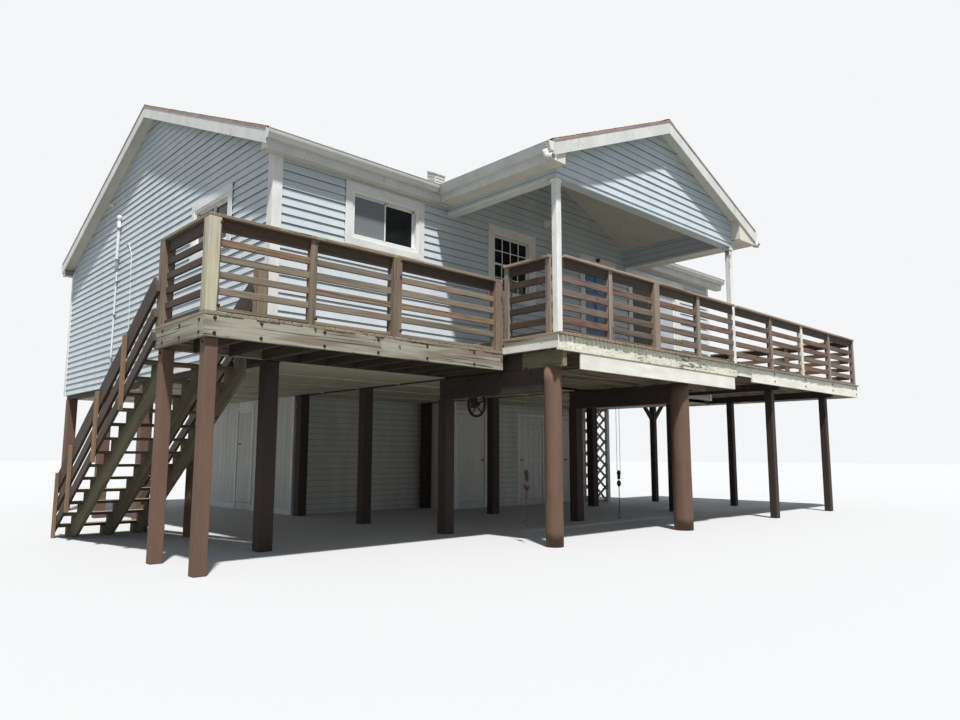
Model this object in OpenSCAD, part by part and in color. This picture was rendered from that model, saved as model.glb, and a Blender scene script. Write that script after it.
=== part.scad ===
// Stilt house with a wrap-around timber deck, a gabled porch and storage rooms between the stilts.
// Millimetres, +Z up. X runs along the front, Y runs into the house.
// Every piece is measured from the outer front-left corner of the walls.
// The origin is under that corner: the centre of the foot of the corner stilt.

/* [House] */
// Length of the house along the front
house_l = 11450; // [10800:50:12400]
// Depth of the house from front to back
house_w = 9450; // [8800:50:10200]
// Height of the finished floor above the feet of the stilts
floor_z = 2900; // [2800:10:3100]
// Thickness of the floor boards
floor_t = 38; // [30:1:50]
// Height of the outer walls from floor to rafters
wall_h = 2555; // [2450:5:2800]
// Thickness of the outer walls
wall_t = 140; // [120:5:180]
// Thickness of the siding that laps down over the floor frame
siding_t = 30; // [20:1:40]
// How far the siding hangs below the floor
siding_drop = 380; // [300:10:440]

/* [Floor frame] */
// Depth of the frame under the floor boards, girders and joists together
floor_frame_h = 422; // [400:1:460]
// Depth of the girders
girder_h = 230; // [200:5:260]
// Width of the girders
girder_w = 190; // [150:5:220]
// Distance between joists
joist_pitch = 450; // [400:10:600]
// Thickness of a joist
joist_t = 38; // [30:1:50]
// Thickness of the panels that close the frame from below
panel_t = 12; // [9:1:20]

/* [Stilts] */
// Width of the square stilts under the house
stilt_w = 190; // [150:5:220]
// Width of the square stilts under the landing and the open deck
deck_stilt_w = 140; // [120:5:160]
// Distance between rows of stilts, front to back
row_pitch = 2250; // [2150:10:2350]
// Distance from the front wall forward to the front row
front_row = 2150; // [2100:10:2200]
// Line of stilts left of the boat slip
slip_left_x = 3200; // [3150:10:3240]
// Line of stilts right of the boat slip
slip_right_x = 6480; // [6250:10:6500]
// Third line of stilts
third_line_x = 9900; // [9800:10:10000]
// Line of stilts under the open side deck
side_line_x = 12600; // [12300:10:12900]
// Diameter of the round pile left of the slip
left_pile_d = 250; // [220:5:280]
// Diameter of the round pile right of the slip
right_pile_d = 320; // [260:5:340]
// Depth of the hoist beams beside the slip
hoist_beam_h = 330; // [280:5:340]
// Width of the hoist beams
hoist_beam_w = 140; // [120:5:160]
// Reach of the knee braces from their stilt
brace_reach = 420; // [350:10:500]

/* [Roof] */
// Rise of the roofs for each length of run, 5.1 in 12
roof_ratio = 0.425; // [0.35:0.005:0.5]
// Thickness of the roof, measured straight down
roof_t = 150; // [130:5:180]
// Clearance between a roof and what it lies on
seat_gap = 0.2; // [0.1:0.1:0.5]
// Overhang of the eaves to the face of the fascia
eave_over = 150; // [120:5:180]
// Overhang of the left gable
left_over = 220; // [160:5:300]
// Overhang of the right gable
right_over = 480; // [350:10:520]
// Thickness of fascia and rake boards
fascia_t = 22; // [18:1:30]
// Height of the rake boards, measured straight down
rake_h = 230; // [200:5:260]
// Height of the underside of the eave soffits above the floor
soffit_rise = 2353; // [2330:1:2370]
// Thickness of the soffit boards
soffit_t = 12; // [9:1:20]
// Gap left where two trim boards meet
board_gap = 2; // [1:0.5:4]
// Width of the gutters
gutter_w = 100; // [80:5:120]
// Height of the gutters
gutter_h = 125; // [100:5:140]
// Thickness of the gutter wall
gutter_t = 6; // [4:1:8]
// Drop of the gutter's rim below the roof edge
gutter_drop = 38; // [25:1:45]
// Side of the roof vent
vent_w = 250; // [200:10:300]
// Distance of the roof vent from the line of the front wall
vent_y = 800; // [700:10:1200]
// Height of the roof vent
vent_h = 280; // [220:10:340]

/* [Porch roof] */
// Left face of the left porch beam
porch_left_x = 3089; // [3060:1:3120]
// Distance across the porch beams, outer face to outer face
porch_span = 5101; // [4900:1:5300]
// Overhang of the porch roof left of its beam, to the fascia
porch_over_l = 263; // [220:1:300]
// Overhang of the porch roof right of its beam, to the fascia
porch_over_r = 602; // [500:1:650]
// Distance from the front wall to the face of the porch gable
porch_d = 2338; // [2300:2:2345]
// Overhang of the porch roof past the porch gable
porch_front_over = 208; // [150:2:260]
// Width of the porch beams and thickness of the porch gable
porch_beam_w = 140; // [120:5:160]
// Height of the underside of the porch beams above the floor
porch_beam_rise = 2232; // [2180:2:2260]
// Width of the porch posts
porch_post_w = 100; // [90:5:115]
// Distance of the ceiling boards below the porch rafters
ceiling_drop = 180; // [120:5:200]

/* [Walkway] */
// Step down from the floor to the walkway
walkway_step = 177; // [150:1:190]
// Width of the walkway along the front wall
walkway_w = 1358; // [1300:2:1400]
// Reach of the landing left of the gable wall
landing_reach = 1409; // [1350:1:1450]
// Reach of the landing behind the front wall's line
landing_back = 50; // [30:5:80]
// Depth of the joists and rim boards of the walkway
walkway_frame_h = 235; // [200:5:240]

/* [Porch deck] */
// Left edge of the porch deck
deck_left_x = 3019; // [3000:1:3040]
// Distance from the front wall to the front edge of the porch deck
deck_front = 2412; // [2400:1:2450]
// Reach of the side deck right of the right gable wall
side_reach = 2606; // [2400:2:2700]
// Reach of the side deck behind the line of the front wall
side_depth = 2450; // [2420:5:2520]
// Distance from the side deck's back edge to the middle of its last stilt
side_inset = 100; // [90:5:140]
// Thickness of the deck boards
board_t = 38; // [30:1:45]
// Depth of the joists under the porch deck
deck_joist_h = 180; // [160:5:190]
// Depth of the front rim board left of its joint
front_rim_h = 212; // [190:2:230]
// Depth of the front rim board right of its joint
right_rim_h = 262; // [240:2:280]
// Where the left rim board ends
rim_joint_x = 8050; // [7900:10:8150]
// Length of the short board between the two rim boards
rim_patch_l = 610; // [500:10:700]
// Depth of the beams that carry the open deck
header_h = 150; // [130:5:180]
// Left edge of the first porch floor, which stands under the wider deck
inner_left_x = 3650; // [3600:10:3750]
// Length of the first porch floor
inner_l = 4550; // [4300:10:4700]
// Distance from the front wall to the face of its white front beam
inner_front = 2290; // [2270:5:2300]
// Thickness of that white front beam
inner_beam_t = 45; // [38:1:60]

/* [Railing] */
// Height of the railing above the walkway
rail_h = 1067; // [1000:1:1110]
// Height of the railing above the porch deck
porch_rail_h = 1108; // [1050:1:1130]
// Height of the lowest rail above the deck
rail_foot = 15; // [10:1:40]
// Width of the ordinary railing posts
post_w = 89; // [80:1:100]
// Width of the corner posts
corner_post_w = 140; // [120:5:150]
// Width of the flat cap
cap_w = 140; // [120:5:150]
// Thickness of the cap and of the rails
rail_t = 38; // [30:1:45]
// Depth of the top board under the cap
top_board_h = 140; // [120:5:160]
// Depth of the thin board just above the decks
kick_board_h = 42; // [30:1:50]
// Depth of the rails on the walkway
rail_board_h = 78; // [65:1:90]
// Height of the first full rail above the walkway
walkway_first_rail = 200; // [180:5:220]
// Distance from one rail of the walkway to the next
walkway_rail_pitch = 178; // [170:1:182]
// Depth of the rails on the porch
porch_board_h = 95; // [80:5:110]
// Height of the first full rail above the porch deck
porch_first_rail = 143; // [130:1:160]
// Distance from one rail of the porch to the next
porch_rail_pitch = 195; // [185:1:200]
// Distance between posts on the walkway
walkway_post_pitch = 1215; // [1100:5:1300]
// Distance between the first posts at the left end of the porch deck
porch_post_pitch = 1210; // [1150:10:1250]
// Distance between posts on the open deck right of the porch
open_post_pitch = 1460; // [1300:10:1600]

/* [Stair] */
// Number of risers from the ground to the landing
risers = 15; // [13:1:16]
// Going of one step
going = 270; // [250:2:290]
// Width of the treads
stair_w = 1200; // [1100:10:1240]
// Thickness of the treads
tread_t = 38; // [32:1:45]
// Depth of a tread from front to back
tread_d = 255; // [230:5:265]
// Thickness of the stringers
stringer_t = 45; // [38:1:50]
// Depth of the stringers, measured straight down
stringer_h = 290; // [260:5:320]
// Height of the outer stair railing over the line of the treads
stair_rail_h = 800; // [750:10:850]
// Distance from the outer railing's top edge to its second board
stair_rail_step = 400; // [380:5:430]
// Height of the railing on the house's side over the line of the treads
inner_stair_rail_h = 1020; // [950:10:1050]
// Distance from one board to the next on the house's side
inner_rail_step = 270; // [250:5:290]
// Depth of the top boards of the stair railings
stair_top_board_h = 235; // [210:5:250]
// Depth of the lower boards of the stair railings
stair_board_h = 140; // [120:5:150]
// Height of the newel at the head of the stair above the landing
newel_h = 900; // [850:10:950]

/* [Windows and doors] */
// Width of the trim round windows and doors
trim_w = 115; // [90:5:120]
// Thickness of the trim
trim_t = 20; // [15:1:25]
// Thickness of the frames inside the walls
jamb_t = 45; // [35:1:55]
// Thickness of the glass
glass_t = 10; // [6:1:14]
// Left edge of the sliding window in the front wall
slider_x = 1240; // [1150:10:1400]
// Width of the sliding windows
slider_w = 1240; // [1100:10:1300]
// Height of the sliding windows
slider_h = 720; // [600:10:800]
// Height of the heads of the windows above the floor
head_rise = 2190; // [2100:5:2200]
// Left edge of the window under the porch
porch_window_x = 4135; // [4050:5:4200]
// Width of the window under the porch
porch_window_w = 980; // [900:10:1050]
// Height of the window under the porch
porch_window_h = 1080; // [1000:10:1150]
// Left edge of the entry door
entry_x = 6650; // [6550:10:6700]
// Width of the entry door
entry_w = 860; // [800:10:900]
// Height of the doors
door_h = 2030; // [1980:5:2050]
// Left edge of the sliding door
slide_door_x = 8260; // [8200:10:8300]
// Width of the sliding door
slide_door_w = 1800; // [1600:10:1850]
// Distance from the front corner to the window in the left gable wall
gable_window_y = 1335; // [1250:5:1450]

/* [Storage rooms] */
// Thickness of the storage walls
shed_t = 100; // [90:5:120]
// Left face of the storage rooms
shed_x = 3150; // [3110:5:3180]
// Front face of the left storage room
shed_front_y = 4850; // [4800:10:4950]
// Front face of the right storage room
shed_right_y = 3800; // [3700:10:3900]
// Left face of the right storage room
shed_jog_x = 6600; // [6590:5:6700]
// Left edge of the flush door
flush_door_x = 6750; // [6710:10:6850]
// Distance from the house's right corner back to the end door's left edge
end_door_inset = 910; // [880:10:960]
// Width of the end door
end_door_w = 760; // [700:10:780]
// Left edge of the panelled door
panel_door_x = 8820; // [8700:10:8900]
// Width of the storage doors
shed_door_w = 870; // [800:10:900]
// Distance from the front of the left room to the batten door
batten_door_y = 1840; // [1700:10:1950]
// Width of the batten door
batten_door_w = 700; // [650:10:800]
// Height of the kerb under the storage doors
kerb_h = 150; // [100:5:180]
// Thickness of the door leaves
leaf_t = 44; // [35:1:45]
// Gap round a moving door leaf
leaf_gap = 8; // [7:0.5:10]
// Length of the lattice panel in front of the right storage room
lattice_l = 760; // [650:10:850]
// Width of the thin post at the end of the lattice panel
lattice_post_w = 110; // [90:5:130]
// Width of a lattice slat
slat_w = 60; // [45:5:70]
// Distance between lattice slats
slat_pitch = 175; // [150:5:200]

/* [Hoist wheel] */
// Diameter of the hoist wheel
wheel_d = 400; // [340:10:440]
// Diameter of its axle
axle_d = 40; // [30:1:50]
// Gap between axle and wheel bore
axle_gap = 0.1; // [0.05:0.05:0.2]
// Thickness of the wheel's rim and spokes
wheel_t = 40; // [30:1:50]
// Distance of the wheel in front of the front wall
wheel_y = 450; // [350:10:600]

/* [Hidden] */
$fn = 48;
slope = roof_ratio;
frame_z = floor_z - floor_t - floor_frame_h;
joist_z = frame_z + girder_h;
plate_z = floor_z + wall_h;
ridge_y = house_w / 2;
deck_frame_z = floor_z - board_t - deck_joist_h;
deck_right_x = house_l + side_reach;
walkway_z = floor_z - walkway_step;
walkway_frame_z = walkway_z - board_t - walkway_frame_h;
hoist_z = frame_z - hoist_beam_h;
row_1 = row_pitch - front_row;
row_2 = row_1 + row_pitch;
row_3 = row_2 + row_pitch;
row_4 = row_3 + row_pitch;
row_5 = house_w - shed_t - stilt_w / 2;
side_stilt_y = side_depth - side_inset;
corner_x = stilt_w / 2;
inner_jog_x = shed_jog_x + shed_t + stilt_w / 2;
porch_right_x = porch_left_x + porch_span;
porch_eave_l = porch_left_x - porch_over_l;
porch_eave_r = porch_right_x + porch_over_r;
porch_ridge_x = (porch_eave_l + porch_eave_r) / 2;
porch_half = (porch_eave_r - porch_eave_l) / 2;
porch_beam_z = floor_z + porch_beam_rise;
soffit_z = floor_z + soffit_rise;
head_z = floor_z + head_rise;
door_head_z = floor_z + door_h;
shed_head_z = kerb_h + door_h;
end_door_x = house_l - end_door_inset;
rise = walkway_z / risers;
stair_x = -landing_reach;
inner_right_x = inner_left_x + inner_l;
rim2_x = rim_joint_x + rim_patch_l;
eave_z = plate_z + roof_t - slope * eave_over;
wheel_z = hoist_z - wheel_d / 4;
wheel_x = slip_left_x + hoist_beam_w / 2 + 60;

// Height of a wall's top under the main roof, at a distance from the front wall
function main_under(y) = plate_z - seat_gap + slope * min(y, house_w - y);
// Height of the underside of the porch roof at a distance along the front
function porch_under(x) =
    eave_z - roof_t + slope * (porch_half - abs(x - porch_ridge_x));
// Height of a gable's or a beam's top under the porch roof
function porch_seat(x) = porch_under(x) - seat_gap;

// Places what is measured from the walls' corner in the part's own frame
module from_corner() {
    translate([-stilt_w / 2, -stilt_w / 2, 0]) children();
}
// A box from its lowest corner to its highest
module box(a, b) {
    translate(a) cube([b[0] - a[0], b[1] - a[1], b[2] - a[2]]);
}
// Extrudes an outline drawn in Y and Z along X
module along_x(x0, x1) {
    translate([x0, 0, 0]) rotate([90, 0, 90]) linear_extrude(x1 - x0) children();
}
// Extrudes an outline drawn in X and Z along Y
module along_y(y0, y1) {
    translate([0, y1, 0]) rotate([90, 0, 0]) linear_extrude(y1 - y0) children();
}
// A square post standing on z0
module post(x, y, w, z0, z1) {
    box([x - w / 2, y - w / 2, z0], [x + w / 2, y + w / 2, z1]);
}
// Turn pieces drawn for the front wall onto the other three walls
module on_left() {
    rotate([0, 0, -90]) children();
}
module on_right() {
    translate([house_l, 0, 0]) rotate([0, 0, 90]) children();
}
module on_back() {
    translate([house_l, house_w, 0]) rotate([0, 0, 180]) children();
}

// A round pile with a notch that seats the end of its hoist beam
module notched_pile(x, d) {
    difference() {
        translate([x, -front_row, 0]) cylinder(h = frame_z, d = d);
        box([x - hoist_beam_w / 2, -front_row, hoist_z],
            [x + hoist_beam_w / 2, -front_row + d, frame_z + 1]);
    }
}
module front_piles() {
    color("saddlebrown") from_corner() {
        notched_pile(slip_left_x, left_pile_d);
        notched_pile(slip_right_x, right_pile_d);
        for (x = [third_line_x, side_line_x])
            post(x, -front_row, deck_stilt_w, 0, deck_frame_z - header_h);
    }
}
module house_stilts() {
    color("saddlebrown") from_corner() {
        for (x = [slip_left_x, slip_right_x])
            post(x, row_1, stilt_w, 0, hoist_z);
        for (x = [corner_x, third_line_x])
            post(x, row_1, stilt_w, 0, frame_z);
        for (x = [corner_x, slip_left_x, slip_right_x, third_line_x])
            post(x, row_2, stilt_w, 0, frame_z);
        for (x = [corner_x, slip_left_x, slip_right_x])
            post(x, row_3, stilt_w, 0, frame_z);
        for (x = [corner_x, inner_jog_x, third_line_x], y = [row_4, row_5])
            post(x, y, stilt_w, 0, frame_z);
        for (y = [row_1, side_stilt_y])
            post(side_line_x, y, deck_stilt_w, 0, deck_frame_z - header_h);
        // The two stilts of the landing
        for (y = [-walkway_w + joist_t + deck_stilt_w / 2, landing_back - joist_t - deck_stilt_w / 2])
            post(stair_x + joist_t + deck_stilt_w / 2, y, deck_stilt_w, 0, walkway_frame_z);
    }
}
module hoist_beams() {
    color("saddlebrown") from_corner() {
        for (x = [slip_left_x, slip_right_x])
            box([x - hoist_beam_w / 2, -front_row, hoist_z],
                [x + hoist_beam_w / 2, row_1 + stilt_w / 2, frame_z]);
        axle_y = -wheel_y;
        hanger_x = slip_left_x + hoist_beam_w / 2;
        box([hanger_x, axle_y - 60, wheel_z - 60], [hanger_x + 30, axle_y + 60, frame_z]);
        translate([hanger_x + 20, axle_y, wheel_z]) rotate([0, 90, 0])
            cylinder(h = 110, d = axle_d);
    }
}
module hoist_wheel() {
    color("dimgray") from_corner() translate([wheel_x, -wheel_y, wheel_z]) rotate([0, 90, 0])
        difference() {
            union() {
                difference() {
                    cylinder(h = wheel_t, d = wheel_d);
                    translate([0, 0, -1]) cylinder(h = wheel_t + 2, d = wheel_d - 60);
                }
                cylinder(h = wheel_t, d = axle_d + 50);
                for (a = [0:60:120])
                    rotate([0, 0, a]) translate([-wheel_d / 2 + 15, -14, 8])
                        cube([wheel_d - 30, 28, wheel_t - 16]);
            }
            translate([0, 0, -1]) cylinder(h = wheel_t + 2, d = axle_d + 2 * axle_gap);
        }
}
// Beams under the open deck, and the two knee braces of the last stilt
module deck_beams() {
    top = deck_frame_z;
    front = -deck_front + joist_t;
    w = post_w / 2;
    color("saddlebrown") from_corner() {
        box([slip_left_x - w, front, frame_z], [slip_left_x + w, 0, top]);
        box([third_line_x - w, front, top - header_h], [third_line_x + w, 0, top]);
        box([side_line_x - w, front, top - header_h], [side_line_x + w, side_depth - joist_t, top]);
        for (m = [0, 1])
            translate([side_line_x, 0, 0]) mirror([m, 0, 0]) along_y(side_stilt_y - joist_t, side_stilt_y + joist_t)
                polygon([[deck_stilt_w / 2, top - brace_reach - 120], [deck_stilt_w / 2, top - brace_reach],
                    [deck_stilt_w / 2 + brace_reach, top], [deck_stilt_w / 2 + brace_reach + 120, top]]);
    }
}
// Lines of the girders, from left to right
girder_lines = [corner_x + siding_t, slip_left_x, slip_right_x, third_line_x,
    house_l - corner_x - siding_t];
module floor_girders() {
    color("tan") from_corner() {
        for (x = girder_lines)
            box([x - girder_w / 2, siding_t, frame_z], [x + girder_w / 2, house_w - siding_t, joist_z]);
    }
}
module floor_joists() {
    t = siding_t;
    last = house_w - t - joist_t;
    n = floor((last - t) / joist_pitch);
    color("tan") from_corner() {
        for (i = [0:n])
            box([t, t + i * (last - t) / n, joist_z],
                [house_l - t, t + i * (last - t) / n + joist_t, floor_z - floor_t]);
    }
}
module underfloor() {
    t = siding_t;
    g = girder_w / 2;
    color("linen") from_corner() {
        for (i = [0:3])
            box([girder_lines[i] + g, t, frame_z],
                [girder_lines[i + 1] - g, house_w - t, frame_z + panel_t]);
    }
}
module floor() {
    t = siding_t;
    color("burlywood") from_corner()
        box([t, t, floor_z - floor_t], [house_l - t, house_w - t, floor_z]);
}

// Outline of a long wall: siding lapped over the floor frame, top cut to the roof
module long_wall_outline() {
    polygon([[0, floor_z - siding_drop], [siding_t, floor_z - siding_drop], [siding_t, floor_z],
        [wall_t, floor_z], [wall_t, main_under(wall_t)], [0, main_under(0)]]);
}
// A hole through a wall that faces the front
module hole(x, z, w, h) {
    box([x, -1, z], [x + w, wall_t + 1, z + h]);
}
module front_wall() {
    color("lightsteelblue") from_corner() difference() {
        along_x(0, house_l) long_wall_outline();
        // The wall is level under the raised gable behind the porch
        box([porch_left_x, -1, plate_z], [porch_right_x, wall_t + 1, plate_z + roof_t]);
        hole(slider_x, head_z - slider_h, slider_w, slider_h);
        hole(porch_window_x, head_z - porch_window_h, porch_window_w, porch_window_h);
        hole(entry_x, floor_z, entry_w, door_h);
        hole(slide_door_x, floor_z, slide_door_w, door_h);
    }
}
module back_wall() {
    color("lightsteelblue") from_corner() on_back() difference() {
        along_x(0, house_l) long_wall_outline();
        for (x = [house_l / 5, house_l / 2, house_l * 4 / 5])
            hole(x - slider_w / 2, head_z - slider_h, slider_w, slider_h);
    }
}
// A gable wall between the two long walls, with its siding lapped over the floor frame
module gable_wall() {
    difference() {
        union() {
            along_x(0, wall_t) polygon([[wall_t, floor_z], [house_w - wall_t, floor_z],
                [house_w - wall_t, main_under(wall_t)], [ridge_y, main_under(ridge_y)],
                [wall_t, main_under(wall_t)]]);
            along_x(0, siding_t) polygon([[siding_t, floor_z - siding_drop],
                [house_w - siding_t, floor_z - siding_drop], [house_w - siding_t, floor_z],
                [siding_t, floor_z]]);
        }
        children();
    }
}
module left_gable_wall() {
    color("lightsteelblue") from_corner() gable_wall()
        on_left() hole(-gable_window_y - slider_w, head_z - slider_h, slider_w, slider_h);
}
module right_gable_wall() {
    color("lightsteelblue") from_corner() translate([house_l, 0, 0]) mirror([1, 0, 0])
        gable_wall() on_left() hole(-house_w * 2 / 3 - slider_w / 2, head_z - slider_h,
            slider_w, slider_h);
}

// Outline of the front slope of the main roof, down to depth t under its top
module main_slope(t) {
    y0 = -eave_over + fascia_t;
    polygon([[y0, plate_z + roof_t - t + slope * y0], [ridge_y, plate_z + roof_t - t + slope * ridge_y],
        [ridge_y, plate_z + roof_t + slope * ridge_y], [y0, plate_z + roof_t + slope * y0]]);
}
module main_roof_front() {
    color("dimgray") from_corner() difference() {
        along_x(-left_over + fascia_t, house_l + right_over - fascia_t) main_slope(roof_t);
        box([porch_left_x, -eave_over, plate_z - roof_t], [porch_right_x, wall_t, plate_z + 2 * roof_t]);
    }
}
module main_roof_back() {
    color("dimgray") from_corner() translate([0, house_w, 0]) mirror([0, 1, 0])
        along_x(-left_over + fascia_t, house_l + right_over - fascia_t) main_slope(roof_t);
}
// Outline of the whole porch roof, drawn in X and Z
module porch_outline() {
    l = porch_eave_l + fascia_t;
    r = porch_eave_r - fascia_t;
    polygon([[l, porch_under(l)], [porch_ridge_x, porch_under(porch_ridge_x)], [r, porch_under(r)],
        [r, porch_under(r) + roof_t], [porch_ridge_x, porch_under(porch_ridge_x) + roof_t],
        [l, porch_under(l) + roof_t]]);
}
module porch_roof() {
    top = 3 * roof_t;
    reach = porch_half + eave_over;
    color("dimgray") from_corner() difference() {
        along_y(-porch_d - porch_front_over + fascia_t, reach) porch_outline();
        difference() {
            along_x(porch_eave_l - 1, porch_eave_r + 1)
                polygon([[-eave_over, plate_z - top], [ridge_y, plate_z - top],
                    [ridge_y, plate_z + roof_t + seat_gap + slope * ridge_y],
                    [-eave_over, plate_z + roof_t + seat_gap - slope * eave_over]]);
            box([porch_left_x, -eave_over - 1, plate_z - top], [porch_right_x, wall_t, plate_z + top]);
        }
    }
}
// Outline of a rake board on one slope of a gable, cut plumb at the ridge
module rake_half(run, z_eave) {
    polygon([[0, z_eave - rake_h], [run - board_gap / 2, z_eave - rake_h + slope * run],
        [run - board_gap / 2, z_eave + slope * run], [0, z_eave]]);
}
module rake_pair(run, width) {
    rake_half(run, eave_z);
    translate([width, 0]) mirror([1, 0]) rake_half(run, eave_z);
}
module fascias() {
    front = -porch_d - porch_front_over;
    f = fascia_t;
    g = board_gap;
    eave_y = -eave_over;
    right = house_l + right_over - f - g;
    left = -left_over + f + g;
    color("white") from_corner() {
        // Rake boards of the two main gables and of the porch
        for (x = [-left_over, house_l + right_over - f])
            along_x(x, x + f) translate([eave_y, 0]) rake_pair(ridge_y + eave_over, house_w + 2 * eave_over);
        along_y(front, front + f) translate([porch_eave_l, 0]) rake_pair(porch_half, 2 * porch_half);
        // Eave boards left and right of the porch and along the back
        box([left, eave_y, soffit_z], [porch_eave_l - g, eave_y + f, eave_z]);
        box([porch_eave_r + g, eave_y, soffit_z], [right, eave_y + f, eave_z]);
        box([left, house_w + eave_over - f, soffit_z], [right, house_w + eave_over, eave_z]);
        for (x = [porch_eave_l, porch_eave_r - f])
            box([x, front + f + g, soffit_z], [x + f, eave_y, eave_z]);
    }
}
// Height of the ceiling boards' top, which follow the porch rafters
function ceiling_top(x) = porch_under(x) - ceiling_drop;
// One slope of the porch ceiling between x0 and x1
module ceiling_half(x0, x1) {
    along_y(-porch_d + porch_beam_w, 0)
        polygon([[x0, ceiling_top(x0)], [x1, ceiling_top(x1)], [x1, ceiling_top(x1) - soffit_t],
            [x0, ceiling_top(x0) - soffit_t]]);
}
module soffits() {
    front = -porch_d - porch_front_over + fascia_t;
    f = fascia_t;
    z = soffit_z;
    top = soffit_z + soffit_t;
    right = house_l + right_over - f;
    color("linen") from_corner() {
        box([-left_over + f, -eave_over + f, z], [porch_left_x, 0, top]);
        box([porch_right_x, -eave_over + f, z], [right, 0, top]);
        box([-left_over + f, house_w, z], [right, house_w + eave_over - f, top]);
        box([porch_eave_l + f, front, z], [porch_left_x, -eave_over, top]);
        box([porch_right_x, front, z], [porch_eave_r - f, -eave_over, top]);
        ceiling_half(porch_left_x + porch_beam_w, porch_ridge_x - board_gap / 2);
        ceiling_half(porch_ridge_x + board_gap / 2, porch_right_x - porch_beam_w);
    }
}
// Section of a gutter: a trough that opens upwards, with its back on the fascia at 0
module gutter_outline() {
    z = eave_z - gutter_drop;
    difference() {
        polygon([[0, z], [0, z - gutter_h], [-gutter_w * 0.65, z - gutter_h], [-gutter_w, z - gutter_h / 2],
            [-gutter_w, z]]);
        polygon([[-gutter_t, z + 1], [-gutter_t, z - gutter_h + gutter_t],
            [-gutter_w * 0.65 + gutter_t / 2, z - gutter_h + gutter_t],
            [-gutter_w + gutter_t, z - gutter_h / 2 + gutter_t / 2], [-gutter_w + gutter_t, z + 1]]);
    }
}
module gutters() {
    front = -porch_d - porch_front_over;
    color("white") from_corner() {
        along_x(-left_over, porch_eave_l - gutter_w - 4)
            translate([-eave_over, 0]) gutter_outline();
        along_x(porch_eave_r + gutter_w + 4, house_l + right_over)
            translate([-eave_over, 0]) gutter_outline();
        along_x(-left_over, house_l + right_over)
            translate([house_w + eave_over, 0]) mirror([1, 0]) gutter_outline();
        along_y(front, -eave_over) translate([porch_eave_l, 0]) gutter_outline();
        along_y(front, -eave_over) translate([porch_eave_r, 0]) mirror([1, 0]) gutter_outline();
    }
}
// A gable across the porch, from z0 up to the porch roof
module porch_gable(z0) {
    polygon([[porch_left_x, z0], [porch_right_x, z0], [porch_right_x, porch_seat(porch_right_x)],
        [porch_ridge_x, porch_seat(porch_ridge_x)], [porch_left_x, porch_seat(porch_left_x)]]);
}
// The gable on the porch posts, and the one raised on the front wall behind it
module porch_gable_walls() {
    color("lightsteelblue") from_corner() {
        along_y(-porch_d, -porch_d + porch_beam_w) porch_gable(porch_beam_z);
        along_y(0, wall_t) porch_gable(plate_z);
    }
}
// The posts carry the porch gable; the beams run from it back to the front wall
module porch_supports() {
    y = -porch_d + porch_beam_w / 2;
    color("white") from_corner() {
        for (x = [porch_left_x + porch_post_w / 2, porch_right_x - porch_post_w / 2])
            post(x, y, porch_post_w, floor_z, porch_beam_z);
        for (x = [porch_left_x, porch_right_x - porch_beam_w])
            along_y(-porch_d + porch_beam_w, 0)
                polygon([[x, porch_beam_z], [x + porch_beam_w, porch_beam_z],
                    [x + porch_beam_w, porch_seat(x + porch_beam_w)], [x, porch_seat(x)]]);
    }
}

// A window or door frame in the front wall: trim on the siding, jambs in the hole
module frame_in_wall(x, z, w, h, sill = true, stile = false) {
    j = jamb_t;
    difference() {
        union() {
            box([x - trim_w, -trim_t, sill ? z - trim_w : z], [x + w + trim_w, 0, z + h + trim_w]);
            box([x, -1, z], [x + w, wall_t, z + h]);
        }
        box([x + j, -trim_t - 1, sill ? z + j : z - 1], [x + w - j, wall_t + 1, z + h - j]);
    }
    if (stile)
        box([x + w / 2 - j / 2, wall_t / 2 - 30, sill ? z + j - 1 : z],
            [x + w / 2 + j / 2, wall_t / 2 - 10, z + h - j + 1]);
}
// The glass of one frame
module pane(x, z, w, h, sill = true) {
    j = jamb_t;
    box([x + j, wall_t / 2 - 10, sill ? z + j : z], [x + w - j, wall_t / 2 - 10 + glass_t, z + h - j]);
}
module window_frames() {
    sz = head_z - slider_h;
    color("white") from_corner() {
        frame_in_wall(slider_x, sz, slider_w, slider_h, stile = true);
        frame_in_wall(porch_window_x, head_z - porch_window_h, porch_window_w, porch_window_h);
        frame_in_wall(entry_x, floor_z, entry_w, door_h, sill = false);
        frame_in_wall(slide_door_x, floor_z, slide_door_w, door_h, sill = false, stile = true);
        on_left() frame_in_wall(-gable_window_y - slider_w, sz, slider_w, slider_h, stile = true);
        on_right() frame_in_wall(house_w * 2 / 3 - slider_w / 2, sz, slider_w, slider_h, stile = true);
        on_back() for (x = [house_l / 5, house_l / 2, house_l * 4 / 5])
            frame_in_wall(x - slider_w / 2, sz, slider_w, slider_h, stile = true);
    }
}
module window_glass() {
    sz = head_z - slider_h;
    color("slategray") from_corner() {
        pane(slider_x, sz, slider_w, slider_h);
        pane(porch_window_x, head_z - porch_window_h, porch_window_w, porch_window_h);
        pane(slide_door_x, floor_z, slide_door_w, door_h, sill = false);
        on_left() pane(-gable_window_y - slider_w, sz, slider_w, slider_h);
        on_right() pane(house_w * 2 / 3 - slider_w / 2, sz, slider_w, slider_h);
        on_back() for (x = [house_l / 5, house_l / 2, house_l * 4 / 5])
            pane(x - slider_w / 2, sz, slider_w, slider_h);
    }
}
module entry_door() {
    color("teal") from_corner()
        box([entry_x + jamb_t, wall_t / 2 - leaf_t, floor_z],
            [entry_x + entry_w - jamb_t, wall_t / 2, door_head_z - jamb_t]);
}

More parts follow.
